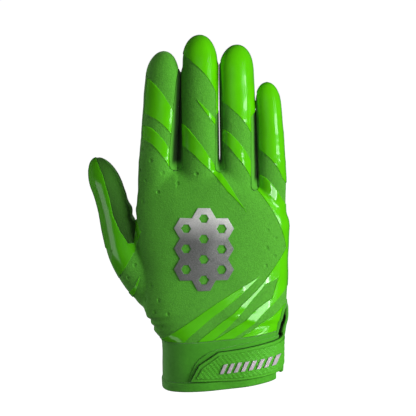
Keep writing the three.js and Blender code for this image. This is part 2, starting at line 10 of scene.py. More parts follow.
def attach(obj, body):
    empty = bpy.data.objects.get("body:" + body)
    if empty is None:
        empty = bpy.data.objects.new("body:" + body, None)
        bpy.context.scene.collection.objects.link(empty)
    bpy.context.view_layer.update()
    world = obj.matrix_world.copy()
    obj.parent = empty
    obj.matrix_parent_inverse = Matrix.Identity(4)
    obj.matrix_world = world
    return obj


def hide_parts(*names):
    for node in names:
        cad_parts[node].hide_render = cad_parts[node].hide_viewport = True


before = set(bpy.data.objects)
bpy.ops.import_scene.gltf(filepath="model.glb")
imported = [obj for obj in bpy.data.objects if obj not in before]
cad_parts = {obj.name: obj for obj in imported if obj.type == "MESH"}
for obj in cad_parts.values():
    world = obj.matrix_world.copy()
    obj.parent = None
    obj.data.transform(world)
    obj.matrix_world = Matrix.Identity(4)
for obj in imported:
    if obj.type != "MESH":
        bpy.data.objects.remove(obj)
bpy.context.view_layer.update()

# The filled-out form.
# The shape that the cloth is stretched over: a wrist and hand, four fingers and a thumb. It is drawn
# flat, in mm, with its middle plane at y = 0, so that the pieces are cut on it as from a pattern.
HAND_ROWS = [  # height, left and right edge, depth to the back and to the palm side
    (-10, -37.2, 35.4, 23.8, 25.6),
    (22, -37.6, 36.2, 23.6, 25.4),
    (32.2, -37.9, 37.8, 23.3, 25.2),
    (33.6, -39.4, 38.4, 23, 25),
    (35.2, -41.6, 39, 22.6, 24.8),
    (40.6, -43, 40, 21.8, 24.4),
    (43.4, -45.1, 40.6, 21.2, 24.1),
    (46.6, -46, 41, 20.7, 23.8),
    (49.6, -49.6, 41.2, 20.1, 23.4),
    (56, -50, 41.4, 19, 22.6),
    (72, -50.4, 41.5, 16.6, 21.6),
    (90, -53.2, 41.8, 14.6, 19.6),
    (108, -54.4, 42.4, 13.2, 17),
    (122, -53.2, 41.8, 12, 13.8),
    (131, -51.4, 39.8, 10.4, 10.6),
    (136, -48.8, 38, 7, 7.2),
    (138.6, -44, 32, 1, 1),
]
HAND_SQUARE = 2.6  # exponent of a section's outline, 2 for an ellipse
HAND_SIDES = 96
HAND_STEP = 2
WEB_FALL = 0.58  # the top of the hand falls to the little finger
WEB_FALL_X = 2
WEB_SLOPE = -0.3  # the webs fall towards the palm side
WEB_SLOPE_Y = -5
WEB_FALL_ZS, WEB_SLOPE_ZS = (92, 136), (118, 136)  # heights over which they set in
WEB_Z = 138
ROOT_Z = 96
FINGER_ROWS = [  # middle at the web and at the tip, height of the tip, half width at the web and the tip
    (-41.3, -36.6, 210.9, 11.5, 10.7),
    (-14.85, -14.1, 220.5, 12.4, 10.9),
    (10.2, 8.7, 214.9, 10.8, 10.7),
    (31.2, 27.8, 191.3, 8.9, 7.8),
]
FINGER_DEPTH = 0.86
FINGER_SQUARE = 2.04
FINGER_SIDES = 48
FINGER_STEP = 4
ROOT_SLIMMER, ROOT_FLATTER = 2.4, 0.82  # a finger's root sinks into the hand
TIP_LENGTH = 1.55  # over the half width
TIP_STEPS = 10
TIP_END = 0.03  # how wide the last ring is, of the whole
SPREAD = (-7, -2.5, 2.5, 7)  # holds the fingers apart while the form is made
SPREAD_FROM, SPREAD_TO = 140, 158
THUMB_ROWS = [  # centre line from inside the hand to the last joint, and half width
    (-33, 3, 51.3, 12),
    (-43.6, 4, 61.9, 12.8),
    (-52.5, 5.5, 71, 13),
    (-60.5, 6.5, 81.2, 12.2),
    (-65, 7.5, 95.2, 11.6),
    (-69.5, 8, 111, 10.3),
    (-72.8, 9, 122.6, 10),
]
THUMB_TIP = (-81, 10.5, 140.6)
THUMB_DEPTH = 0.95
THUMB_SQUARE = 2.1
THUMB_STEPS = 5  # rings between two rows
THUMB_LOOK = 0.3  # how far its direction is taken, before and after a ring, in rows
FORM_VOXEL = 0.85
SMOOTHED, KNUCKLES_SMOOTHED = 7, 14  # times
KNUCKLES_LOW, KNUCKLES_HIGH, KNUCKLES_LEFT = 100, 146, -56
THUMB_SIDE_X = -68
GAP_LEFT = (0.015, 0.2, 0.015)  # half of what stays open between two fingers' palm sides
CLOSE_MORE, CLOSE_DEEPER, CLOSE_WIDTH = 1.6, 0.15, 6
CLOSE_YS = (-4.5, -0.5)
WEB_BELOW, WEB_ABOVE = 4, 1  # about the web
TIP_OPEN, TIP_APART = 17, 9  # below the shorter tip
FINGER_TURN = (-0.02, -0.06, 0.11, -0.08)  # about its length
TURN_ZS = (118, 146)
WRIST_FOLDS = [(37.6, 1.5, 0.9), (42.6, 1.3, 0.7), (47.6, 1.6, 1.1), (55, 2.2, 0.35)]  # crest, width, rise
FOLD_TILT, FOLD_LEFT, FOLD_RIGHT, FOLD_BACK = 0.22, -46, -24, 16
THUMB_FOLDS = [(119, 3, 0.5), (110, 3, 1.1), (105, 2, -0.9), (101, 2.4, 0.6)]
THUMB_FOLD_Y, THUMB_FOLD_DEEP = 6, 5
INNER_X, INNER_Z, INNER_LEAN = -74, 124, 0.5  # a slanted line along the thumb's inner side
INNER_LEFT, INNER_RIGHT, INNER_LOW = -72, -50, 88
PUFF_SHORT, PUFF_LONG, PUFF_RISE = 1.9, 6.5, 0.75  # the cloth bulges over the band
PUFF_Z, PUFF_LEFT, PUFF_CLIMB, PUFF_RIGHT, PUFF_DROP = 41, 22, 0.35, 30, 0.2  # the line of its crest
PUFF_XS, PUFF_YS = (-8, 12), (2, 9)
CREASE_WAVE, CREASE_RISE, CREASE_LEAST = 5, 0.16, 0.02
JOINT_Z, JOINT_SHORT, JOINT_LONG, JOINT_RISE = 168.5, 4.5, 25, 0.9  # the ring finger's middle joint
JOINT_LEFT, JOINT_RIGHT = 2, 24
JOINT_YS = (4, 9)
BODY_WAVE, BODY_RISE = 15, 0.5
NEAREST = 0.05  # keeps a vertex at the very point from weighing without end
UP = Vector((0, 0, 1))


def mix(a, b, t):
    return a + (b - a) * t


def ease(x, low, high):
    t = np.clip((x - low) / (high - low), 0, 1)
    return t * t * (3 - 2 * t)


def between_rows(stops, rows, at):
    """Rows between those of a table, on a curve that doesn't overshoot them."""
    stops, rows, at = (np.array(v, float) for v in (stops, rows, at))
    step = np.diff(stops)[:, None]
    slope = np.diff(rows, axis=0) / step
    bend = np.zeros_like(rows)
    both = slope[1:] * slope[:-1]
    total = slope[1:] + slope[:-1]
    np.divide(2 * both, total, out=bend[1:-1], where=both > 0)
    bend[0], bend[-1] = slope[0], slope[-1]
    i = np.clip(np.searchsorted(stops, at, side="right") - 1, 0, len(stops) - 2)
    t = ((at - stops[i]) / step[i, 0])[:, None]
    held = rows[i] * (1 + 2 * t) * (1 - t) ** 2 + rows[i + 1] * t * t * (3 - 2 * t)
    return held + step[i] * (bend[i] * t * (1 - t) ** 2 - bend[i + 1] * t * t * (1 - t))


def extruded(bm, edges):
    """Extrudes a ring of edges; returns each new vertex with its old one, and the new edges."""
    made = bmesh.ops.extrude_edge_only(bm, edges=edges)["geom"]
    fresh = dict.fromkeys(g for g in made if isinstance(g, bmesh.types.BMVert))
    for v in fresh:
        fresh[v] = next(u for e in v.link_edges if (u := e.other_vert(v)) not in fresh)
    return fresh, [g for g in made if isinstance(g, bmesh.types.BMEdge) and fresh.keys() >= set(g.verts)]


def tube(bm, rings, sides):
    """A closed tube through rounded sections (centre, along, half, back, palm, square, fit)."""
    verts = bmesh.ops.create_circle(bm, segments=sides, radius=1)["verts"]
    angle = {v: math.atan2(v.co.y, v.co.x) for v in verts}
    edges = list({e for v in verts for e in v.link_edges})
    bmesh.ops.contextual_create(bm, geom=edges)
    for n, (centre, along, half, back, palm, square, fit) in enumerate(rings):
        if n:
            verts, edges = extruded(bm, edges)
            angle = {v: angle[source] for v, source in verts.items()}
        across = Vector((along.z, 0, -along.x)).normalized()
        deep = along.cross(across)
        for v in verts:
            c, s = math.cos(angle[v]), math.sin(angle[v])
            wide = half * math.copysign(abs(c) ** (2 / square), c)
            depth = (back if s < 0 else palm) * math.copysign(abs(s) ** (2 / square), s)
            v.co = fit(centre + across * wide + deep * depth)
    bmesh.ops.contextual_create(bm, geom=edges)


def hand_fit(p):
    weight = ease(p.z, *WEB_FALL_ZS)
    slope = WEB_SLOPE * ease(p.z, *WEB_SLOPE_ZS) * max(0, p.y - WEB_SLOPE_Y)
    p.z += slope - WEB_FALL * weight * max(0, p.x - WEB_FALL_X)
    return p


def hand_rings():
    stops = [row[0] for row in HAND_ROWS]
    heights = np.append(np.arange(stops[0], stops[-1], HAND_STEP), stops[-1])
    for z, row in zip(heights, between_rows(stops, HAND_ROWS, heights)):
        _, left, right, back, palm = row
        yield Vector(((left + right) / 2, 0, z)), UP, (right - left) / 2, back, palm, HAND_SQUARE, hand_fit


def rounded_end(base, tip, along, half, depth, square, fit):
    for i in range(1, TIP_STEPS + 1):
        angle = math.pi / 2 * i / TIP_STEPS
        part = max(math.cos(angle), TIP_END)
        yield base.lerp(tip, math.sin(angle)), along, half * part, depth * part, depth * part, square, fit


def finger_rings(row, spread):
    web_x, tip_x, tip_z, web_half, tip_half = row

    def fit(p):
        p.x += spread * ease(p.z, SPREAD_FROM, SPREAD_TO)
        return p

    def axis(z):
        return Vector((mix(web_x, tip_x, (z - WEB_Z) / (tip_z - WEB_Z)), 0, z))

    base_z = tip_z - TIP_LENGTH * tip_half
    count = round((base_z - ROOT_Z) / FINGER_STEP)
    for z in np.linspace(ROOT_Z, base_z, count + 1):
        root = ease(z, ROOT_Z, WEB_Z)
        half = mix(web_half, tip_half, max((z - WEB_Z) / (base_z - WEB_Z), 0)) - ROOT_SLIMMER * (1 - root)
        depth = half * FINGER_DEPTH * mix(ROOT_FLATTER, 1, root)
        yield axis(z), UP, half, depth, depth, FINGER_SQUARE, fit
    yield from rounded_end(axis(base_z), axis(tip_z), UP, half, depth, FINGER_SQUARE, fit)


def thumb_rings():
    rows = [*THUMB_ROWS, (*THUMB_TIP, THUMB_ROWS[-1][3])]
    stops = np.arange(len(rows))
    at = np.linspace(0, len(rows) - 2, (len(rows) - 2) * THUMB_STEPS + 1)
    spine = between_rows(stops, rows, at)
    ahead = between_rows(stops, rows, np.minimum(at + THUMB_LOOK, stops[-1]))
    behind = between_rows(stops, rows, np.maximum(at - THUMB_LOOK, 0))
    for (x, y, z, half), to in zip(spine, ahead - behind):
        along = Vector(to[:3]).normalized()
        depth = half * THUMB_DEPTH
        yield Vector((x, y, z)), along, half, depth, depth, THUMB_SQUARE, Vector.copy
    base, tip = Vector((x, y, z)), Vector(THUMB_TIP)
    along = (tip - base).normalized()
    yield from rounded_end(base, tip, along, half, depth, THUMB_SQUARE, Vector.copy)


def in_scene(name, data):
    made = bpy.data.objects.new(name, data)
    bpy.context.scene.collection.objects.link(made)
    return made


def modified(mesh, kind, **settings):
    holder = in_scene("scratch", mesh)
    modifier = holder.modifiers.new(kind, kind)
    for key, value in settings.items():
        setattr(modifier, key, value)
    depsgraph = bpy.context.evaluated_depsgraph_get()
    made = bpy.data.meshes.new_from_object(holder.evaluated_get(depsgraph))
    bpy.data.objects.remove(holder)
    return made


def mesh_of(bm):
    made = bpy.data.meshes.new("scratch")
    bm.to_mesh(made)
    bm.free()
    return made


def points_of(mesh):
    flat = np.empty(len(mesh.vertices) * 3)
    mesh.vertices.foreach_get("co", flat)
    return flat.reshape(-1, 3)


def gap_edges(left, right, z):
    """The facing edges of two neighbouring fingers at height z."""
    edges = []
    for (web_x, tip_x, tip_z, web_half, tip_half), side in ((left, 1), (right, -1)):
        up = np.clip((z - WEB_Z) / (tip_z - WEB_Z), 0, 1)
        edges.append(mix(web_x, tip_x, up) + side * mix(web_half, tip_half, up))
    return edges


def together(p):
    """Moves the fingers back together, and closes the gaps on the palm side."""
    x, y, z = p.T
    shift = ease(z, SPREAD_FROM, SPREAD_TO)
    pairs = list(zip(FINGER_ROWS, FINGER_ROWS[1:]))
    finger = np.zeros(len(p), int)
    for (left, right), apart in zip(pairs, zip(SPREAD, SPREAD[1:])):
        finger += x > sum(gap_edges(left, right, z)) / 2 + sum(apart) / 2 * shift
    x = np.where(x > THUMB_SIDE_X, x - np.array(SPREAD)[finger] * shift, x)
    for k, (left, right) in enumerate(pairs):
        low, high = gap_edges(left, right, z)
        middle, half = (low + high) / 2, (high - low) / 2
        side = np.where(finger > k, 1, -1)
        away = side * (x - middle)
        top = min(left[2], right[2])
        web = WEB_Z - WEB_FALL * max(0, (left[0] + left[3]) - WEB_FALL_X)
        up = ease(z, web - WEB_BELOW, web + WEB_ABOVE) * (1 - ease(z, top - TIP_OPEN, top - TIP_APART))
        reach = half - GAP_LEFT[k] + CLOSE_MORE + CLOSE_DEEPER * np.maximum(y, 0)
        reach = reach * (1 - ease(away - half, 0, CLOSE_WIDTH))
        closed = np.maximum(away - reach * up * ease(y, *CLOSE_YS), GAP_LEFT[k])
        facing = ((finger == k) | (finger == k + 1)) & (away > GAP_LEFT[k]) & (z > web - WEB_BELOW)
        x = np.where(facing, middle + side * closed, x)
    turn = np.array(FINGER_TURN)[finger] * ease(z, *TURN_ZS)
    axis = np.array([row[0] for row in FINGER_ROWS])[finger]
    return np.stack([x, y + turn * (x - axis), z], 1)


def smooth_noise(p, wave):
    return noise.noise(Vector(p) / wave)


def fold(away, wide):
    return np.exp(-((away / wide) ** 2))


def creased(p, normal):
    """Soft folds where the cloth gathers."""
    x, y, z = p.T
    rise = np.zeros(len(p))
    for crest, wide, high in WRIST_FOLDS:
        along = z - crest - FOLD_TILT * (x - FOLD_LEFT)
        rise += high * fold(along, wide) * (1 - ease(x, FOLD_LEFT, FOLD_RIGHT)) * (y < FOLD_BACK)
    inside = (x > INNER_X + INNER_LEAN * (INNER_Z - z)) & (x > INNER_LEFT) & (x < INNER_RIGHT)
    inside &= z > INNER_LOW
    for crest, wide, high in THUMB_FOLDS:
        rise += high * fold(z - crest, wide) * inside * fold(y - THUMB_FOLD_Y, THUMB_FOLD_DEEP)
    crest = PUFF_Z + PUFF_CLIMB * np.maximum(0, PUFF_LEFT - x) - PUFF_DROP * np.maximum(0, x - PUFF_RIGHT)
    puff = fold(z - crest, np.where(z < crest, PUFF_SHORT, PUFF_LONG)) * ease(x, *PUFF_XS)
    puff *= ease(-y, *PUFF_YS)
    crease = [smooth_noise(q, CREASE_WAVE) if strong > CREASE_LEAST else 0 for q, strong in zip(p, puff)]
    joint = fold(z - JOINT_Z, np.where(z < JOINT_Z, JOINT_LONG, JOINT_SHORT))
    rise += JOINT_RISE * joint * ((x > JOINT_LEFT) & (x < JOINT_RIGHT)) * ease(-y, *JOINT_YS)
    body = np.array([smooth_noise(q, BODY_WAVE) for q in p])
    rise += BODY_RISE * body + (PUFF_RISE + CREASE_RISE * np.array(crease)) * puff
    return p + normal * rise[:, None]


def made_form():
    bm = bmesh.new()
    tube(bm, hand_rings(), HAND_SIDES)
    for row, spread in zip(FINGER_ROWS, SPREAD):
        tube(bm, finger_rings(row, spread), FINGER_SIDES)
    tube(bm, thumb_rings(), FINGER_SIDES)
    bmesh.ops.recalc_face_normals(bm, faces=bm.faces)
    skin = modified(mesh_of(bm), "REMESH", mode="VOXEL", voxel_size=FORM_VOXEL)
    bm = bmesh.new()
    bm.from_mesh(skin)
    axes = {"use_axis_x": True, "use_axis_y": True, "use_axis_z": True}
    for _ in range(SMOOTHED):
        bmesh.ops.smooth_vert(bm, verts=bm.verts, factor=0.5, **axes)
    knuckles = [v for v in bm.verts if KNUCKLES_LOW < v.co.z < KNUCKLES_HIGH and v.co.x > KNUCKLES_LEFT]
    for _ in range(KNUCKLES_SMOOTHED):
        bmesh.ops.smooth_vert(bm, verts=knuckles, factor=0.5, **axes)
    skin = mesh_of(bm)
    normals = np.array([v.normal for v in skin.vertices])
    skin.vertices.foreach_set("co", together(creased(points_of(skin), normals)).ravel())
    for name in ("skin_face", "cut_face"):
        skin.materials.append(bpy.data.materials.new(name))
    return skin


form = made_form()
form_bm = bmesh.new()
form_bm.from_mesh(form)
form_bm.normal_update()
form_bm.faces.ensure_lookup_table()
form_tree = BVHTree.FromBMesh(form_bm)


def form_normal(p):
    """The form's smooth normal at the point that is nearest to p."""
    _, _, index, _ = form_tree.find_nearest(p)
    normal = Vector()
    for v in form_bm.faces[index].verts:
        normal += v.normal / ((v.co - p).length + NEAREST)
    return normal.normalized()


# The back panel.
# The matte stretch fabric over the back of the hand and the fingers, knitted and cut in one piece. Its
# edges are turned in and sewn to the palm, the strips between the fingers, the thumb and the band.
MM = 0.001
FAR = 300
WRIST_TOP = 32
WALL = 1.3
WELD, SLIVER = 0.05, 0.005  # closer points are one; shorter edges go
SHARPEST, LEAST_MITRE = 0.6, 0.5  # at sharper corners, an edge's way out is not drawn out further
SEAM = 0.3  # half the width of a seam's groove
EDGE_FLAT = 0.02  # a narrow flat rim keeps the bend of an edge out of the face beside it
ROLLED_IN = [(0.12, 0.04), (0.22, 0.2), (0.25, 0.7)]  # a turned edge: out and down
CUFF_TILT = math.tan(math.radians(6))
CUFF_ZS = (34, 84)
ARCH, ARCH_X = 0.0017, -5
ARCH_ZS = (30, 110)
CURL, CURL_Z = 0.0011, 134
SLIT = [
    (1.5, -8), (1.5, 30), (0.8, 38), (-0.6, 43.5), (-2.6, 46), (-5.6, 46), (-9, 44.4), (-10.8, 40),
    (-10.9, 30), (-10.8, 20), (-10.8, 6), (-10.8, -8),
]
SLIT_X = 20
BINDING_WIDTH, BINDING_CLEAR = 2.4, 0.1
THUMB_ZONE = [
    (-55.6, 107), (-58, 128), (-66, 170), (-FAR, 170), (-FAR, 56), (-68, 62), (-64.8, 68.4), (-56.8, 84),
    (-55, 97),
]
SIDE_SEAM = [  # from above: between back and palm, further to the back on the thumb's side
    (-FAR, -FAR), (FAR, -FAR), (FAR, 0.8), (-42, 0.8), (-47, -4), (-FAR, -4),
]
STRIP_BACK, STRIP_TIGHT = 5.5, 0.05  # the strips end behind the middle of the fingers
STRIP_BOWS = 4  # points along a bowed edge
STRIPS = {  # seen from the front; a third number bows the edge that leads to the point
    "index_middle": [
        (-26.6, 204), (-25.9, 204), (-25.8, 190), (-25.4, 165), (-25, 153), (-25, 142), (-27.6, 137, 1.1),
        (-30.4, 137), (-33, 141.5, 1.1), (-33, 150), (-31.9, 160), (-30.6, 173.6), (-30.2, 180),
        (-28.6, 193.8),
    ],
    "middle_ring": [
        (-2.2, 207), (-1.4, 207), (-0.6, 195), (-0.1, 185), (0, 169), (0, 153), (0.8, 147.5), (1.7, 142),
        (-0.2, 136.7, 1), (-2.4, 136.5), (-4.5, 141, 1), (-4.4, 150), (-4.3, 171.5), (-2.4, 173.5),
    ],
    "ring_little": [
        (20.8, 187), (21.2, 187), (22.3, 175), (22.7, 165), (22.9, 150), (23.1, 135), (23.2, 128.5),
        (21.6, 124.8, 0.7), (19.8, 124.7), (18, 128.5, 0.8), (18, 150), (18, 171), (20.7, 173.5),
    ],
}


def worn(p):
    """Bends flat points into the worn shape: a tilted wrist, an arched hand and curled fingers."""
    x, y, z = p.T
    tilt = CUFF_TILT * (1 - ease(z, *CUFF_ZS))
    arch = ARCH * ease(z, *ARCH_ZS) * (x - ARCH_X) ** 2
    curl = CURL * np.maximum(0, z - CURL_Z) ** 2
    return np.stack([x, y + arch + curl, z + tilt * x], 1)


def bowed(rows, steps=7):
    """Points along an outline; a row's third number bows the edge that leads to it, to its left."""
    points = []
    for (x0, z0, *_), (x1, z1, *bow) in zip(rows, [*rows[1:], rows[0]]):
        if not bow:
            points.append((x0, z0))
            continue
        length = math.hypot(x1 - x0, z1 - z0)
        cx = (x0 + x1) / 2 - 2 * bow[0] * (z1 - z0) / length
        cz = (z0 + z1) / 2 + 2 * bow[0] * (x1 - x0) / length
        for i in range(steps):
            t = i / steps
            a, b, c = (1 - t) ** 2, 2 * t * (1 - t), t * t
            points.append((a * x0 + b * cx + c * x1, a * z0 + b * cz + c * z1))
    return points


def grown(points, by):
    """An outline moved out by `by`, or in where it is negative."""
    area = sum(a[0] * b[1] - b[0] * a[1] for a, b in zip(points, [*points[1:], points[0]]))
    by = math.copysign(by, area * by)
    made = []
    for i, (x, z) in enumerate(points):
        before, after = points[i - 1], points[(i + 1) % len(points)]
        into = Vector((z - before[1], before[0] - x)).normalized()
        out = Vector((after[1] - z, x - after[0])).normalized()
        mitre = (into + out).normalized()
        reach = by / max(mitre.dot(into), LEAST_MITRE)
        made.append((x + mitre.x * reach, z + mitre.y * reach))
    return made


def prism(points, by=0, view="front", near=-FAR, far=FAR):
    """A solid over an outline that is moved out by `by`, from near to far in a view."""
    if by:
        points = grown(points, by)
    at = {"front": 1, "side": 0, "top": 2}[view]
    along = [0, 0, 0]
    along[at] = 1
    bm = bmesh.new()
    face = bm.faces.new([bm.verts.new((*(a, b)[:at], near, *(a, b)[at:])) for a, b in points])
    made = bmesh.ops.extrude_face_region(bm, geom=[face])["geom"]
    moved = [g for g in made if isinstance(g, bmesh.types.BMVert)]
    bmesh.ops.translate(bm, verts=moved, vec=Vector(along) * (far - near))
    bmesh.ops.recalc_face_normals(bm, faces=bm.faces)
    bmesh.ops.triangulate(bm, faces=[f for f in bm.faces if len(f.verts) > 4])
    for f in bm.faces:
        f.material_index = 1
    made = mesh_of(bm)
    for mark in form.materials:
        made.materials.append(mark)
    return made


def without(mesh, *tools, how="DIFFERENCE"):
    settings = {"operation": how, "solver": "MANIFOLD", "material_mode": "INDEX"}
    for tool in tools:
        holder = in_scene("scratch", tool)
        mesh = modified(mesh, "BOOLEAN", object=holder, **settings)
        bpy.data.objects.remove(holder)
    return mesh


def common(mesh, *tools):
    return without(mesh, *tools, how="INTERSECT")


def joined(mesh, *tools):
    return without(mesh, *tools, how="UNION")


def slab(low, high, back=FAR):
    """All that lies between two heights and in front of `back`."""
    return prism([(-FAR, low), (FAR, low), (FAR, high), (-FAR, high)], far=back)


def surface_of(mesh):
    """The part of a cut form that is still skin, as an open patch."""
    bm = bmesh.new()
    bm.from_mesh(mesh)
    bmesh.ops.delete(bm, geom=[f for f in bm.faces if f.material_index == 1], context="FACES")
    bmesh.ops.remove_doubles(bm, verts=bm.verts, dist=WELD)
    bmesh.ops.dissolve_degenerate(bm, edges=bm.edges, dist=SLIVER)
    bm.normal_update()
    return bm


def edge_turns(bm):
    """For each vertex on a patch's edge, the way out of the patch along its surface."""
    sides = {}
    for e in bm.edges:
        if not e.is_boundary:
            continue
        face = e.link_faces[0]
        a, b = e.verts
        side = (b.co - a.co).cross(face.normal).normalized()
        if side.dot((a.co + b.co) / 2 - face.calc_center_median()) < 0:
            side.negate()
        for v in e.verts:
            sides.setdefault(v, []).append(side)
    turns = {}
    for v, found in sides.items():
        total = sum(found, Vector()).normalized()
        turns[v] = total / max(total.dot(found[0]), SHARPEST)
    return turns


def made_up(bm, top=0, foot=-WALL, roll=ROLLED_IN):
    """Makes a cloth of a patch, from `foot` to `top` off the form, with a turned edge."""
    turns = edge_turns(bm)
    place = {v: v.co.copy() for v in bm.verts}
    rise = {v: top(v.co) if callable(top) else top for v in bm.verts}
    sole = {v: foot(v.co) if callable(foot) else foot for v in bm.verts}
    normal = {v: form_normal(v.co) if v in turns else v.normal.copy() for v in bm.verts}
    rim = [e for e in bm.edges if e.is_boundary]
    copied = bmesh.ops.duplicate(bm, geom=bm.verts[:] + bm.edges[:] + bm.faces[:])
    inner = {v: copied["vert_map"][v] for v in place}
    bmesh.ops.reverse_faces(bm, faces=[g for g in copied["geom"] if isinstance(g, bmesh.types.BMFace)])
    for v in place:
        v.co = place[v] + normal[v] * rise[v]
        inner[v].co = place[v] + normal[v] * sole[v]
    source = {v: v for v in turns}
    for out, down in [(EDGE_FLAT, 0), *roll, (0, None)]:
        fresh, rim = extruded(bm, rim)
        for v, last in fresh.items():
            root = source[v] = source[last]
            height = sole[root] if down is None else max(rise[root] - down, sole[root])
            v.co = place[root] + turns[root] * out + normal[root] * height
    bmesh.ops.weld_verts(bm, targetmap={v: inner[source[v]] for v in fresh})
    for f in bm.faces:
        f.material_index = 0
    return bm


def piece(name, bm, look, slot, *nodes):
    """Bends a flat piece into the worn shape, and puts it in the place of CAD nodes."""
    mesh = mesh_of(bm)
    mesh.name = name
    mesh.vertices.foreach_set("co", (worn(points_of(mesh)) * MM).ravel())
    mesh.materials.clear()
    mesh.materials.append(look.material)
    mesh.shade_smooth()
    made = in_scene(f"{name}_piece", mesh)
    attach(made, "root")
    if nodes:
        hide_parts(*nodes)


def cut_piece(name, solid, look, slot, *nodes, **layer):
    """Makes up the skin that is left on a cut form."""
    piece(name, made_up(surface_of(solid), **layer), look, slot, *nodes)


def slit_hole(by):
    return prism(SLIT, by, "side", near=SLIT_X)


TIP_SEAM = [  # from the side, up from the fingertip: the seam passes behind the end of the finger
    (-FAR, -15), (-1, -15), (2.2, -8), (4.4, -1), (4.4, 30), (-FAR, 30),
]
TIP_CLEAR = 0.5
THUMB_SIDE = [(-FAR, -FAR), (-44, -FAR), (-44, 8), (-FAR, 8)]  # from above: below the thumb's root
THUMB_ROOT_Z = 101


def back_zone(by):
    """Where the back lies: in front of the side seam, and over each fingertip."""
    below_root = prism(THUMB_SIDE, by, "top", far=THUMB_ROOT_Z + by)
    zone = joined(prism(SIDE_SEAM, by, "top"), below_root)
    for _, tip_x, tip_z, _, half in FINGER_ROWS:
        seam = [(y, tip_z + z) for y, z in TIP_SEAM]
        reach = half + TIP_CLEAR
        zone = joined(zone, prism(seam, by, "side", tip_x - reach, tip_x + reach))
    return zone


def strip_zone(name, by):
    return prism(bowed(STRIPS[name], STRIP_BOWS), by, far=STRIP_BACK + by)


def rgb(red, green, blue):
    return red, green, blue, 1


class Look:
    """A material under construction: nodes are added and linked by name."""

    def __init__(self, name, **sockets):
        self.material = bpy.data.materials.new(name)
        self.material.use_nodes = True
        self.tree = self.material.node_tree
        self.tree.nodes.clear()
        self.shader = self.node("ShaderNodeBsdfPrincipled", **sockets)
        out = self.node("ShaderNodeOutputMaterial")
        self.link(self.shader, "BSDF", out, "Surface")
        self.place = self.node("ShaderNodeTexCoord")

    def node(self, kind, settings=None, **sockets):
        made = self.tree.nodes.new(kind)
        for key, value in (settings or {}).items():
            setattr(made, key, value)
        for key, value in sockets.items():
            made.inputs[key.replace("_", " ")].default_value = value
        return made

    def link(self, source, output, target, socket):
        self.tree.links.new(source.outputs[output], target.inputs[socket])

    def noise(self, scale, detail=2, roughness=0.5):
        made = self.node("ShaderNodeTexNoise", Scale=scale, Detail=detail, Roughness=roughness)
        self.link(self.place, "Object", made, "Vector")
        return made

    def ramp(self, source, *stops):
        made = self.node("ShaderNodeValToRGB")
        elements = made.color_ramp.elements
        while len(elements) < len(stops):
            elements.new(0.5)
        for element, (at, colour) in zip(elements, stops):
            element.position = at
            element.color = colour
        self.link(source, "Fac", made, "Fac")
        return made

    def colour(self, source, *stops):
        self.link(self.ramp(source, *stops), "Color", self.shader, "Base Color")

    def bump(self, source, strength, distance, under=None, output="Fac"):
        made = self.node("ShaderNodeBump", Strength=strength, Distance=distance)
        self.link(source, output, made, "Height")
        if under:
            self.link(under, "Normal", made, "Normal")
        return made

    def relief(self, source, **settings):
        self.link(self.bump(source, **settings), "Normal", self.shader, "Normal")

    def axis(self, letter):
        """The place along one of the object's axes, as a node and the name of its output."""
        made = self.node("ShaderNodeSeparateXYZ")
        self.link(self.place, "Object", made, "Vector")
        return made, letter

    def mixed(self, kind, factor, one, other):
        made = self.node("ShaderNodeMix", {"data_type": "RGBA", "blend_type": kind}, Factor=1)
        if factor:
            self.link(factor, "Result", made, "Factor")
        a, b, result = made.inputs[6], made.inputs[7], made.outputs[2]  # its sockets for colours
        self.tree.links.new(one, a)
        self.tree.links.new(other, b)
        self.tree.links.new(result, self.shader.inputs["Base Color"])


def cloth(name, dark, light, grain=0.5, rough=0.8):
    """Stretch fabric: a fine knit with a mottled grain and a soft sheen."""
    sheen = {"Sheen_Weight": 0.24, "Sheen_Roughness": 0.4, "Sheen_Tint": rgb(0.8, 1, 0.7)}
    look = Look(name, Roughness=rough, **sheen)
    grains = look.noise(scale=1050, detail=3, roughness=0.65)
    look.colour(grains, (0.32, dark), (0.68, light))
    knit = look.node("ShaderNodeTexVoronoi", Scale=1500)
    look.link(look.place, "Object", knit, "Vector")
    weave = look.bump(knit, strength=0.5, distance=0.00025, output="Distance")
    look.relief(grains, strength=grain, distance=0.0004, under=weave)
    return look


back_cloth = cloth("back_stretch_fabric", rgb(0.06, 0.29, 0.018), rgb(0.095, 0.41, 0.03))
below_seam = WRIST_TOP + SEAM
hand_form = without(form, slab(-FAR, below_seam), slit_hole(BINDING_WIDTH + BINDING_CLEAR))
hand_form = without(hand_form, prism(THUMB_ZONE, SEAM))
hand_form = without(hand_form, *(strip_zone(name, SEAM - STRIP_TIGHT) for name in STRIPS))
back_form = common(hand_form, back_zone(-SEAM))
VENTS = [  # pressed dimples, seen from the front
    (-44.7, 143.8), (-37.4, 136.3), (-28.1, 129.6), (-16.3, 136.1), (-40.3, 123.9), (-48, 130.8),
    (-49.5, 150.6), (-51.5, 136.8), (-49.7, 117), (28.4, 99.8), (33.7, 94.2), (28, 88.7), (38.7, 88.1),
    (33.2, 83), (27.4, 77.5), (-55.3, 76.4), (-59.6, 68.8), (-44.8, 66), (-48.2, 57.4), (-40, 57.9),
    (-42.5, 51), (-34.3, 50.3), (-37.7, 42.4),
]
VENT_RADIUS = 1.4
VENT_DEPTH = 0.5
VENT_SLOPE = (0.5, 1.05)  # of the radius
VENT_FINE = 1.5


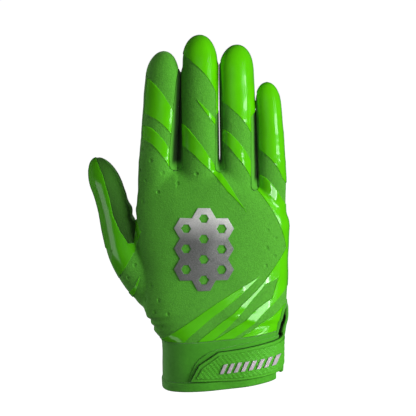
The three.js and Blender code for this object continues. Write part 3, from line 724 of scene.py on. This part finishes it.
def press_vents(bm):
    """Presses the round vents into the fabric, on a finer mesh round each."""
    for x, z in VENTS:
        hit, *_ = form_tree.ray_cast(Vector((x, -FAR, z)), Vector((0, 1, 0)))
        near = [v for v in bm.verts if (v.co - hit).length < VENT_FINE * VENT_RADIUS]
        edges = list({e for v in near for e in v.link_edges})
        if not edges:
            continue
        bmesh.ops.subdivide_edges(bm, edges=edges, cuts=3, use_grid_fill=True)
        bm.normal_update()
        for v in bm.verts:
            away = (v.co - hit).length / VENT_RADIUS
            if away < VENT_SLOPE[1]:
                v.co -= v.normal * VENT_DEPTH * (1 - ease(away, *VENT_SLOPE))


FINGER_NAMES = ("index", "middle", "ring", "little")
back = surface_of(back_form)
press_vents(back)
back_nodes = ["back_panel", *(f"back_{name}" for name in FINGER_NAMES)]
piece("back_panel", made_up(back), back_cloth, "back_fabric", *back_nodes)

# The palm panel.
# One piece of thin, slightly tacky grip material for the palm and the palm side of the fingers. It
# wraps round the outer edge of the hand and is sewn to the back panel there.
palm_grip = cloth("palm_grip", rgb(0.05, 0.24, 0.015), rgb(0.075, 0.33, 0.025), grain=0.2, rough=0.55)
palm = without(hand_form, back_zone(SEAM))
palm_nodes = ["palm_panel", *(f"palm_{name}" for name in FINGER_NAMES)]
cut_piece("palm_panel", palm, palm_grip, "grip_palm", *palm_nodes)

# The strips between the fingers.
# Narrow lengths of the same stretch fabric, folded into a U at each web and sewn between the back and
# the palm, so that their rolled ends stand a little proud at the webs.
STRIP_SEAM = 0.2
STRIP_ROLL = [(0.08, 0.04), (0.14, 0.16), (0.15, 0.6)]
STRIP_PROUD, STRIP_WEB_Z, STRIP_FALL, STRIP_LOW, STRIP_HIGH = 0.35, 137, 0.55, 2, 9
# for each gap's painted shade: where it begins to darken the strips, and how far that reaches, left and
# right
STRIP_SHADES = ((0.5, 3.4, 3.2), (0, 0.9, 1.8), (0.2, 1.5, 1.2))
SHADE_FROM, SHADE_FULL = 1, 6  # above the web


def strip_rise(p):
    web = STRIP_WEB_Z - STRIP_FALL * max(0, p.x)
    return STRIP_PROUD * (1 - ease(p.z, web + STRIP_LOW, web + STRIP_HIGH))


def shade_gap(bm, k):
    """Marks how deep in gap k each point of a strip lies, for the painted shade that darkens its colour."""
    mark = bm.verts.layers.float.new("painted_gap_shade")
    dark, reach_left, reach_right = STRIP_SHADES[k]
    left, right = FINGER_ROWS[k : k + 2]
    for v in bm.verts:
        low, high = gap_edges(left, right, v.co.z)
        web = WEB_Z - WEB_FALL * max(0, low - WEB_FALL_X)
        on_left = v.co.x < (low + high) / 2
        away = low - v.co.x if on_left else v.co.x - high
        reach = reach_left if on_left else reach_right
        shade = 1 - ease(away, dark, reach)
        v[mark] = shade * ease(v.co.z, web + SHADE_FROM, web + SHADE_FULL)
    return bm


# Painted shade: the strips' colour runs from the fabric's green to near black towards each gap's core.
strip_cloth = Look("strip_fabric", Roughness=0.85, Sheen_Weight=0.1, Sheen_Roughness=0.5)
depth = strip_cloth.node("ShaderNodeAttribute", {"attribute_name": "painted_gap_shade"})
gap_shade_tones = [(0, rgb(0.08, 0.36, 0.025)), (0.5, rgb(0.04, 0.19, 0.012)), (1, rgb(0.008, 0.03, 0.004))]
strip_cloth.colour(depth, *gap_shade_tones)
for k, name in enumerate(STRIPS):
    strip = surface_of(common(form, strip_zone(name, -STRIP_SEAM)))
    strip = shade_gap(made_up(strip, top=strip_rise, roll=STRIP_ROLL), k)
    piece(f"strip_{name}", strip, strip_cloth, "back_fabric", f"fourchette_{name}")

# The thumb.
# Three pieces: the stretch back under a bonded film, the matte gusset towards the hand, and the palm
# side of grip material, sewn to both along the thumb's far edge.
THUMB_SEAM = [
    (-81, 150), (-79.5, 140), (-75.2, 131), (-70.9, 116), (-69, 106.5), (-64.7, 97), (-60.6, 91.2),
    (-59.6, 89.4), (-56.6, 89.6), (-55.6, 93.8), (-54, 108), (-40, 108), (-40, 150),
]
THUMB_SPLIT = [  # from above, between the front pieces and the palm side
    (-FAR, -FAR), (FAR, -FAR), (FAR, 2.5), (-56, 2.5), (-66, 4.5), (-74, 8), (-79, 13), (-FAR, 13),
]
THUMB_PALM_TOP = 0.2


def darkened(look, source, output, **shares):
    """Multiplies a look's colour by shares that run over a range of a node's output, to paint shade."""
    factor = look.node("ShaderNodeMapRange", **shares)
    look.link(source, output, factor, "Value")
    colour = look.shader.inputs["Base Color"].links[0].from_socket
    look.mixed("MULTIPLY", None, colour, factor.outputs["Result"])


gusset_look = cloth("thumb_gusset_fabric", rgb(0.035, 0.15, 0.012), rgb(0.05, 0.2, 0.018))
# Painted shade: the gusset's colour is darker towards its lower end and lighter towards its upper end.
gusset_painted_shade = {"From_Min": 0.092, "From_Max": 0.13, "To_Min": 0.5, "To_Max": 1.15}
darkened(gusset_look, *gusset_look.axis("Z"), **gusset_painted_shade)


thumb_form = without(common(form, prism(THUMB_ZONE, -SEAM)), slab(-FAR, below_seam))
thumb_front = common(thumb_form, prism(THUMB_SPLIT, -SEAM, "top"))
thumb_back = without(thumb_front, prism(THUMB_SEAM, SEAM))
cut_piece("thumb_back", thumb_back, back_cloth, "back_fabric", "thumb_back")
gusset = common(thumb_front, prism(THUMB_SEAM, -SEAM))
cut_piece("thumb_gusset", gusset, gusset_look, "gusset_fabric", "thumb_gusset")
thumb_palm = without(thumb_form, prism(THUMB_SPLIT, SEAM, "top"))
cut_piece("thumb_palm", thumb_palm, palm_grip, "grip_palm", "thumb_palm", top=THUMB_PALM_TOP)

# The gloss films.
# Thin, bright lime film cut in slashes and heat-bonded on the fingertips, the thumb and the edges of
# the back. Its cut edge is slightly rounded and stands half a millimetre proud of the fabric.
FILM_LAYER = {"top": 0.45, "foot": 0.05, "roll": [(0.1, 0.04), (0.24, 0.16), (0.3, 0.36), (0.3, 0.62)]}
FILM_EDGE = 0.3
FILM_CLEAR, FILM_FROM_SEAM, FILM_FROM_STRIP, FILM_FROM_PALM = 0.5, 0.6, 0.15, 0.7
GAPS = (-26.6, -2.2, 21)
FILMS = {
    "film_index_upper": [
        (-60, 202), (-46.5, 194.7), (-34.5, 181.3, 1.2), (-30.7, 174, 0.4), (-31.4, 158.8),
        (-41.5, 169.8, -1), (-60, 176, -0.8),
    ],
    "film_index_lower": [
        (-60, 166.2), (-44, 164.2, 0.6), (-32.7, 150, 1.2), (-33.4, 139.6), (-44.1, 154.2, -0.8),
        (-60, 159.6, -0.6),
    ],
    "film_middle_tip": [
        (GAPS[0], 209.8), (-18.3, 204.8, 0.6), (-4.5, 186.3, 1.8), (-4.2, 172.2), (GAPS[1], 172.2),
        (GAPS[1], 240), (GAPS[0], 240),
    ],
    "film_middle_sliver": [(-16.2, 183), (-3.5, 168.6, 0.6), (-3.5, 164.4)],
    "film_middle_slash": [
        (-26, 167.2), (-19.7, 162.4, 0.6), (-4.8, 141, 0.8), (9.4, 121, 0.6), (15.6, 111.2),
        (3.4, 124.7, -0.4), (-14.5, 144.5, -0.6), (-26, 153.6, -0.8),
    ],
    "film_ring_tip": [
        (GAPS[1], 181), (4.5, 177.4, 0.6), (18.1, 159.8, 1.6), (GAPS[2] - 0.6, 154), (GAPS[2] - 0.6, 240),
        (GAPS[1], 240),
    ],
    "film_ring_lower": [
        (-1, 164), (5.2, 161.2, 0.4), (17.8, 143.6, 1.2), (17.8, 132.4), (8, 147.8, -0.8), (-1, 157, -0.6),
    ],
    "film_little_tip": [
        (GAPS[2], 151), (27, 147.4, 0.4), (37.3, 132.2, 1.4), (50, 112), (50, 220), (GAPS[2], 220),
    ],
    "film_side": [
        (GAPS[2], 134.8), (27.4, 132.4, 0.3), (37.2, 119.2, 0.8), (50, 94, 0.6), (50, 68), (39.8, 59),
        (32, 50.6), (20.1, 40, -0.5), (4.5, 31), (-8, 31), (-4.6, 33.2), (0.8, 35.7), (14.6, 43.2),
        (31.1, 55.2, 0.9), (34.9, 68.1), (26.9, 65.1), (19.3, 56.2, 0.3), (6.7, 42.6, 0.4),
        (-5.6, 32.9, 0.3), (-8.4, 31), (-17.6, 31), (-5.9, 39.7), (7.5, 48.8), (17.6, 58.1),
        (26.9, 67.8, -0.2), (40.1, 86.8), (33.6, 107.6, -1), (GAPS[2], 125.4, -0.8),
    ],
    "film_wrist_corner": [
        (8.5, 31), (50, 31), (50, 58), (40.7, 49.5), (32, 43.3), (18.4, 36, -0.5),
    ],
    "film_wrist_leaf": [
        (23.1, 70.6), (-7.5, 52.9), (-36.4, 35.4), (-44, 31), (-25.6, 31), (-20.3, 36.2), (-7.6, 45.9),
        (3.7, 53.3), (15.9, 63.1, -0.2),
    ],
    "film_thumb_leaf": [
        (-51.2, 72.4), (-58.5, 60.5, 0.4), (-66, 51), (-60, 48), (-56, 58.4),
    ],
}
THUMB_FILM = [
    (-90, 150), (-81.2, 150), (-79.8, 140), (-75.5, 131), (-71.2, 116), (-69.3, 106.5), (-65, 96.9),
    (-60.8, 91), (-59.8, 89), (-56.3, 89.2), (-55.2, 93.8), (-54.4, 104.5), (-50.9, 97.4), (-55.2, 84.5),
    (-65, 69), (-70.1, 75.7), (-69.6, 83.9), (-90, 84.5),
]


def film_look(name, coat_rough, dark, light):
    look = Look(name, Roughness=0.2, IOR=1.5, Coat_Weight=1, Coat_Roughness=coat_rough, Coat_IOR=1.5)
    look.colour(look.noise(scale=90, detail=2), (0.3, dark), (0.7, light))
    look.relief(look.noise(scale=160, detail=1), strength=0.05, distance=0.0004)
    return look


lime_film = film_look("gloss_lime_film", 0.035, rgb(0.085, 0.53, 0), rgb(0.1, 0.6, 0.001))
# The thumb's film is a darker copy of the same film, painted shade, with a rougher coat.
thumb_lime_shaded = film_look("thumb_lime_film_shaded", 0.13, rgb(0.068, 0.43, 0), rgb(0.08, 0.49, 0.001))
above_band = without(form, slab(-FAR, below_seam + FILM_CLEAR))
film_form = without(above_band, slit_hole(BINDING_WIDTH + FILM_CLEAR))
film_form = common(film_form, back_zone(-SEAM - FILM_FROM_SEAM))
film_form = without(film_form, *(strip_zone(name, SEAM + FILM_FROM_STRIP) for name in STRIPS))
for name, outline in FILMS.items():
    film = common(film_form, prism(bowed(outline), -FILM_EDGE))
    cut_piece(name, film, lime_film, "gloss_film", name, **FILM_LAYER)
thumb_split = prism(THUMB_SPLIT, -SEAM - FILM_FROM_PALM, "top")
thumb_film = common(above_band, thumb_split, prism(THUMB_FILM, -FILM_EDGE))
cut_piece("film_thumb", thumb_film, thumb_lime_shaded, "gloss_film", "film_thumb", **FILM_LAYER)

# The emblem.
# A plate of pierced hexagons in grainy silver foil, heat-pressed on the middle of the back.
EMBLEM_X, EMBLEM_Z = -11.5, 89
CELL, CELL_HOLE, CELL_OVERLAP = 7.4, 3.3, 0.02
CELL_COLUMNS = (3, 4, 3)
FOIL_LAYER = {"top": 0.75, "foot": 0.15, "roll": [(0.08, 0.03), (0.18, 0.14), (0.22, 0.4)]}


def hexagon(x, z, radius):
    corners = [math.pi / 3 * i for i in range(6)]
    return [(x + radius * math.cos(a), z + radius * math.sin(a)) for a in corners]


def foil_look(name, dark, light, low_z, high_z):
    """Grainy metallic foil with a painted reflection: darker at its lower end, lighter at its upper end."""
    look = Look(name, Metallic=0.55, Roughness=0.42, Specular_IOR_Level=0.6)
    grain = look.noise(scale=1500, detail=3, roughness=0.7)
    rise = look.node("ShaderNodeMapRange", From_Min=low_z * MM, From_Max=high_z * MM)
    look.link(*look.axis("Z"), rise, "Value")
    ends = []
    for colour, shaded in ((dark, 0.6), (light, 0.8)):
        ends.append(look.ramp(grain, (0.35, rgb(*[shaded * c for c in colour])), (0.66, rgb(*colour))))
    look.mixed("MIX", rise, *(end.outputs["Color"] for end in ends))
    look.relief(grain, strength=0.35, distance=0.0003)
    return look


# The emblem's painted reflection runs from grey at its lower end to near white at its top.
emblem_foil = foil_look("emblem_foil", (0.3, 0.31, 0.3), (1, 1, 0.98), low_z=94, high_z=110)
plates, holes = [], []
for column, count in enumerate(CELL_COLUMNS):
    cell_x = EMBLEM_X + (column - 1) * CELL * 1.5
    for row in range(count):
        cell_z = EMBLEM_Z + (row - (count - 1) / 2) * CELL * math.sqrt(3)
        plates.append(prism(hexagon(cell_x, cell_z, CELL + CELL_OVERLAP), far=0))
        holes.append(prism(hexagon(cell_x, cell_z, CELL_HOLE)))
emblem = common(form, without(joined(*plates), *holes))
cut_piece("emblem", emblem, emblem_foil, "silver_foil", "back_emblem", **FOIL_LAYER)

# The wrist band.
# A wide band of smooth elastic fabric round the wrist, sewn on over the lower edge of the back and the
# palm. It is open at the slit.
HEM_TOP = 6.4
GAP = 0.3
BAND_TOP, BAND_FOOT = 0.6, -1.3
BAND_CLEAR = 0.2
BAND_COLOURS = rgb(0.055, 0.31, 0.014), rgb(0.07, 0.37, 0.02)
LEG_FOOT = 27.6  # where the binding's front leg ends


def band_cloth(name, dark, light, rough=0.5):
    """Smooth elastic with faint crosswise ribs."""
    sheen = {"Sheen_Weight": 0.5, "Sheen_Roughness": 0.4, "Sheen_Tint": rgb(0.9, 1, 0.85)}
    look = Look(name, Roughness=rough, Specular_IOR_Level=0.35, **sheen)
    grain = look.noise(scale=420, detail=4, roughness=0.6)
    look.colour(grain, (0.3, dark), (0.7, light))
    ribs = look.node("ShaderNodeTexWave", {"bands_direction": "Z"}, Scale=160, Distortion=0.4, Detail=1)
    look.link(look.place, "Object", ribs, "Vector")
    knit = look.bump(ribs, strength=0.12, distance=0.00015)
    look.relief(grain, strength=0.15, distance=0.0003, under=knit)
    return look


band_fabric = band_cloth("wrist_band_elastic", *BAND_COLOURS)


def wrist_cut(clear):
    bound = slit_hole(BINDING_WIDTH + GAP + clear)
    below_leg = slab(-FAR, LEG_FOOT - GAP - clear, back=-GAP)
    return joined(slit_hole(clear), without(bound, below_leg))


band = common(form, slab(HEM_TOP + ROLLED_IN[-1][0], WRIST_TOP - BAND_CLEAR))
band = without(band, wrist_cut(BAND_CLEAR))
cut_piece("cuff", band, band_fabric, "band_fabric", "cuff", top=BAND_TOP, foot=BAND_FOOT)

# The rolled hem.
# The band's lower edge is rolled up into a soft, thick hem, whose ends are rounded at the slit.
HEM_LOW, HEM_HIGH = 1.4, 5  # where its face is flat
HEM_ROLL = [(0.4, 0.06), (0.8, 0.28), (1.15, 0.7), (1.33, 1.3), (1.4, 2.2)]
HEM_LAYER = {"top": 1.3, "foot": -2, "roll": HEM_ROLL}
hem = without(common(form, slab(HEM_LOW, HEM_HIGH)), wrist_cut(HEM_ROLL[-1][0]))
cut_piece("cuff_hem", hem, band_fabric, "band_fabric", "cuff_hem", **HEM_LAYER)

# The binding of the slit.
# A folded strip of the band's elastic sewn round the slit. Its leg on the palm side is thicker, runs
# down to the hem and ends rounded; the strap is sewn on beneath it.
LEG_ROLL = [(0.1, 0.05), (0.28, 0.24), (0.36, 0.6), (0.36, 1.2)]
LEG_END = 0.6
LEG_FRONT, LEG_IN, LEG_WALL = 0.5, -0.9, 1.3
LEG_SIDES = [  # height, and how far the leg at the side stands off
    (-10, 3.9), (20, 4.4), (27, 4.4), (35, 3.8), (42, 2.7), (47, 1.8), (60, 1.4),
]
LEG_SIDE_YS, LEG_OPEN_YS, LEG_DOWN_YS, LEG_CLOSE_ZS = (-3, 5), (-3, 1), (1.5, 2.8), (36, 42)
SLOT_SHADE_YS, SLOT_SHADE_RISES = (0.2, 1.4), (1, 1.7)


def leg_rise(p):
    side = np.interp(p.z, *zip(*LEG_SIDES))
    return mix(LEG_FRONT, side, ease(p.y, *LEG_SIDE_YS))


def leg_sole(p):
    """The leg on the palm side stands off at the slit, and comes down behind it."""
    lifted = ease(p.y, *LEG_OPEN_YS) * (1 - ease(p.y, *LEG_DOWN_YS))
    lifted *= 1 - ease(p.z, *LEG_CLOSE_ZS)
    return mix(LEG_IN, leg_rise(p) - LEG_WALL, lifted)


turned = LEG_ROLL[-1][0]
leg_zone = without(
    slit_hole(BINDING_WIDTH - turned),
    slit_hole(turned),
    slab(-FAR, LEG_FOOT + turned, back=0),
    slab(-FAR, LEG_END + turned),
)
leg = made_up(surface_of(common(form, leg_zone)), top=leg_rise, foot=leg_sole, roll=LEG_ROLL)
leg_look = band_cloth("slit_binding_elastic", *BAND_COLOURS)
# Painted shade: the binding goes nearly black on its inner layer inside the slit, where the slot lies in
# shadow.
slot_painted_shade = leg_look.node("ShaderNodeAttribute", {"attribute_name": "slot_painted_shade"})
darkened(leg_look, slot_painted_shade, "Fac", To_Min=1, To_Max=0.02)
slot_shade_layer = leg.verts.layers.float.new("slot_painted_shade")
for v in leg.verts:
    *_, distance = form_tree.find_nearest(v.co)
    inner = 1 - ease(distance, *SLOT_SHADE_RISES)
    v[slot_shade_layer] = inner * ease(v.co.y, *SLOT_SHADE_YS)
piece("slit_binding", leg, leg_look, "band_fabric", "slit_binding")

# The landing pad.
# A thin smooth pad welded on the band where the strap lands.
PAD_OUTLINE = [
    (-20.6, HEM_TOP + GAP), (-19.2, 13.3), (-15.1, 20.5, 0.4), (-10.3, 24.3, 0.2), (-4.6, 26.5, 0.2),
    (4.2, 27.8), (13, 28.7), (24.4, 29.4), (45, 29), (45, HEM_TOP + GAP),
]
PAD_LAYER = {"top": 1.35, "foot": 0.8, "roll": [(0.12, 0.03), (0.26, 0.14), (0.32, 0.36)]}
PAD_EDGE = 0.3
pad_look = band_cloth("landing_pad_welded", rgb(0.055, 0.31, 0.015), rgb(0.068, 0.37, 0.02), rough=0.42)
pad = without(common(form, prism(bowed(PAD_OUTLINE), -PAD_EDGE, far=0)), slit_hole(GAP + PAD_EDGE))
cut_piece("landing_pad", pad, pad_look, "band_fabric", "landing_pad", **PAD_LAYER)

# The strap.
# A moulded rubber strap with a faceted end that closes the wrist over the slit. It is sewn beneath the
# leg of the binding. A thin near-black sheet beneath it shows round its edge as a painted shadow line.
STRAP_OUTLINE = [
    (-19.4, 7.6), (-14.1, 17.8), (-2.5, 25.1), (11, 25.6), (25, 26.6), (45, 27.6), (45, 5.2), (25, 5.4),
    (8, 5.8), (-8, 6.9),
]
STRAP_ROLL = [(0.2, 0.07), (0.38, 0.24), (0.44, 0.5), (0.44, 0.9)]
STRAP_LAYER = {"top": 3, "foot": 1.7, "roll": STRAP_ROLL}
STRAP_SHADOW_LAYER = {"top": 1.68, "foot": 1.4, "roll": [(0.04, 0.02), (0.06, 0.1)]}
STRAP_SHADOW_OUT = 0.45
STRAP_END_Y = 1.2


def rubber(name, dark, light, rough=0.45):
    look = Look(name, Roughness=rough, Specular_IOR_Level=0.4)
    grain = look.noise(scale=900, detail=3, roughness=0.6)
    look.colour(grain, (0.3, dark), (0.7, light))
    look.relief(grain, strength=0.12, distance=0.0002)
    return look


strap_rubber = rubber("strap_rubber", rgb(0.07, 0.36, 0.02), rgb(0.085, 0.42, 0.026))
# Painted shadow: a near-black sheet under the strap, showing as a dark line round its edge.
strap_shadow_look = rubber("strap_shadow_line", rgb(0.012, 0.06, 0.006), rgb(0.016, 0.08, 0.008), rough=0.7)
strap_shadow = common(form, prism(STRAP_OUTLINE, STRAP_SHADOW_OUT, far=STRAP_END_Y))
cut_piece("strap_shadow_line", strap_shadow, strap_shadow_look, "strap_rubber", **STRAP_SHADOW_LAYER)
turned = STRAP_ROLL[-1][0]
strap = common(form, prism(STRAP_OUTLINE, -turned, far=STRAP_END_Y - turned))
cut_piece("strap", strap, strap_rubber, "strap_rubber", "strap", **STRAP_LAYER)

# The strap's ribbed inset.
# A panel of fine diagonal ribs, crossed by shallow cuts, moulded on the strap inside a plain border.
INSET_OUTLINE = [
    (-15.8, 9.3), (-12, 16.2), (-1.9, 23.3), (11, 23.8), (25, 24.7), (38.6, 25.4), (38.6, 8), (25, 7.4),
    (8, 7.8), (-6, 8.7),
]
INSET_TOP, INSET_FOOT = 3.85, 3.3
INSET_ROLL = [(0.1, 0.06), (0.2, 0.2), (0.24, 0.4)]
RIB_PITCH, RIB_RISE = 1.15, 0.27
RIB_SLOPE = math.radians(35)
RIB_SHARE, CUT_SHARE = 0.7, 0.3


def ribbed(p):
    along = p.x * math.cos(RIB_SLOPE) + p.z * math.sin(RIB_SLOPE)
    across = p.z * math.cos(RIB_SLOPE) - p.x * math.sin(RIB_SLOPE)
    turn = 2 * math.pi / RIB_PITCH
    wave = RIB_SHARE * math.cos(across * turn) + CUT_SHARE * math.cos(along * turn / 2)
    return INSET_TOP + RIB_RISE * wave


inset = surface_of(common(form, prism(INSET_OUTLINE, -INSET_ROLL[-1][0], far=0)))
bmesh.ops.subdivide_edges(inset, edges=inset.edges, cuts=2, use_grid_fill=True)
inset.normal_update()
inset = made_up(inset, top=ribbed, foot=INSET_FOOT, roll=INSET_ROLL)
piece("strap_inset", inset, strap_rubber, "strap_rubber", "strap_pad")

# The bars on the strap.
# Eight slanted bars of pale, grainy foil, bonded in a row along the inset and a little raised.
BAR_COUNT, BAR_FIRST, BAR_PITCH, BAR_WIDTH, BAR_SLANT = 8, -1.6, 4.3, 2.4, 2.6
BAR_LOW, BAR_HIGH = 11.8, 17.8
BAR_ROLL = [(0.06, 0.04), (0.1, 0.14), (0.14, 0.5)]
BAR_LAYER = {"top": 4.75, "foot": 4.2, "roll": BAR_ROLL}
# The bars lie wholly above the foil's painted gradient, so they take its lighter colour throughout.
bar_foil = foil_look("bar_foil", (0.95, 0.82, 0.92), (1, 0.88, 0.98), low_z=0, high_z=10)
for i in range(BAR_COUNT):
    low_x = BAR_FIRST + i * BAR_PITCH
    top_x = low_x + BAR_SLANT
    bar = [(low_x, BAR_LOW), (top_x, BAR_HIGH), (top_x + BAR_WIDTH, BAR_HIGH), (low_x + BAR_WIDTH, BAR_LOW)]
    bar = common(form, prism(bar, -BAR_ROLL[-1][0], far=0))
    cut_piece(f"strap_bar_{i + 1}", bar, bar_foil, "silver_foil", f"strap_bar_{i + 1}", **BAR_LAYER)

# The floor, the lights and the camera.
# A plain pale floor with a pale wall round it, a broad front light from the right, weak fills, and dim
# cards that only show as gloss on the films. The camera looks down on the back of the hand.
FLOOR_Z, FLOOR_RADIUS, WALL_HEIGHT = -0.6, 12, 9
floor_glow = {"Emission_Color": rgb(1, 1, 1), "Emission_Strength": 1}
floor_look = Look("pale_floor", Base_Color=rgb(0.9, 0.9, 0.9), Roughness=0.9, **floor_glow)
bm = bmesh.new()
rim = bmesh.ops.create_circle(bm, cap_ends=True, segments=64, radius=FLOOR_RADIUS)["verts"]
bmesh.ops.translate(bm, verts=rim, vec=(0, 0, FLOOR_Z))
wall_top, _ = extruded(bm, [e for e in bm.edges if e.is_boundary])
bmesh.ops.translate(bm, verts=list(wall_top), vec=(0, 0, WALL_HEIGHT))
bmesh.ops.recalc_face_normals(bm, faces=bm.faces)
floor_mesh = mesh_of(bm)
floor_mesh.materials.append(floor_look.material)
floor = in_scene("floor", floor_mesh)
floor.visible_glossy = False
floor.visible_diffuse = False
floor.visible_shadow = False


def softbox(name, place, size, power, glossy=True, lit=True, target=(0, 0, 0.1)):
    """An area light: seen in reflections if glossy, and lighting matte parts if lit."""
    light = bpy.data.lights.new(name, "AREA")
    light.shape = "RECTANGLE"
    light.size, light.size_y = size
    light.energy = power
    made = in_scene(name, light)
    made.location = place
    towards = Vector(target) - Vector(place)
    made.rotation_euler = towards.to_track_quat("-Z", "Y").to_euler()
    made.visible_glossy = glossy
    made.visible_diffuse = lit
    made.visible_camera = False


RIM_SHARE = 0.09  # of a panel's width: bright tubes along its two sides
RIM_BRIGHTER = 2.6


def panel(name, target, way, up, away, wide, high, power):
    """A dim softbox with bright tubes along its sides; `way` and `up` are degrees, from the target."""
    way, up = math.radians(way), math.radians(up)
    out = Vector((math.cos(up) * math.sin(way), -math.cos(up) * math.cos(way), math.sin(up)))
    side = Vector((math.cos(way), math.sin(way), 0))
    centre = Vector(target) + out * away
    softbox(name, centre, (wide, high), power, lit=False, target=target)
    for end, shift in (("left", -wide / 2), ("right", wide / 2)):
        tube_size = (wide * RIM_SHARE, high)
        tube_power = power * RIM_SHARE * RIM_BRIGHTER
        softbox(f"{name}_{end}_tube", centre + side * shift, tube_size, tube_power, lit=False, target=target)


softbox("front_light", (1.5, -1.05, 0.6), (1, 1), power=50, glossy=False)
softbox("front_fill", (-0.3, -1.5, 0.4), (1, 1), power=3.5, glossy=False)
panel("finger_panel", (0.015, -0.01, 0.17), way=58, up=0, away=0.6, wide=0.18, high=0.1, power=0.23)
panel("wrist_panel", (0.02, -0.02, 0.047), way=25, up=14, away=0.12, wide=0.082, high=0.034, power=0.037)
CARDS = [  # name, place, size, power, target: reflections on the wrist's corner and the ring finger
    ("wrist_strip", (0.102, -0.113, 0.033), (0.07, 0.003), 0.0053, (0.028, -0.018, 0.031)),
    ("wrist_strip_low", (0.102, -0.113, 0.022), (0.07, 0.002), 0.0035, (0.028, -0.018, 0.029)),
    ("ring_card", (0.0938, -0.1047, 0.1212), (0.024, 0.014), 0.0053, (0.013, -0.018, 0.14)),
]
for name, place, size, power, target in CARDS:
    softbox(name, place, size, power, lit=False, target=target)
softbox("thumb_card", (-0.242, -0.0625, 0.078), (0.11, 0.085), power=0.027, target=(-0.07, 0, 0.105))
softbox("left_rim", (-0.95, 0.45, 0.05), (1, 0.8), power=4.5, glossy=False)
softbox("left_card", (-0.95, 0.45, 0.05), (1, 0.8), power=1.2, lit=False)
softbox("back_fill", (0.6, 1.4, 0.5), (1, 1), power=7, glossy=False)
softbox("low_left_card", (-0.256, -0.176, -0.094), (0.12, 0.09), power=0.03)

WORLD_LIGHT = 0.03
world = bpy.data.worlds.new("studio")
bpy.context.scene.world = world
world.use_nodes = True
background = world.node_tree.nodes["Background"]
background.inputs["Color"].default_value = rgb(1, 1, 1)
background.inputs["Strength"].default_value = WORLD_LIGHT

ELEVATION = math.radians(12)
DISTANCE = 1.5
VIEW_WIDTH = 0.26624
MIDDLE_X, MIDDLE_UP = -0.00896, 0.10976
forward = Vector((0, math.cos(ELEVATION), -math.sin(ELEVATION)))
upward = Vector((0, math.sin(ELEVATION), math.cos(ELEVATION)))
camera = bpy.data.cameras.new("camera")
camera.sensor_width = 36
camera.lens = camera.sensor_width * DISTANCE / VIEW_WIDTH
camera.clip_start = 0.01
camera_object = in_scene("camera", camera)
camera_object.location = Vector((MIDDLE_X, 0, 0)) + upward * MIDDLE_UP - forward * DISTANCE
camera_object.rotation_euler = forward.to_track_quat("-Z", "Y").to_euler()
bpy.context.scene.camera = camera_object
bpy.context.scene.view_settings.view_transform = "Standard"

form_bm.free()
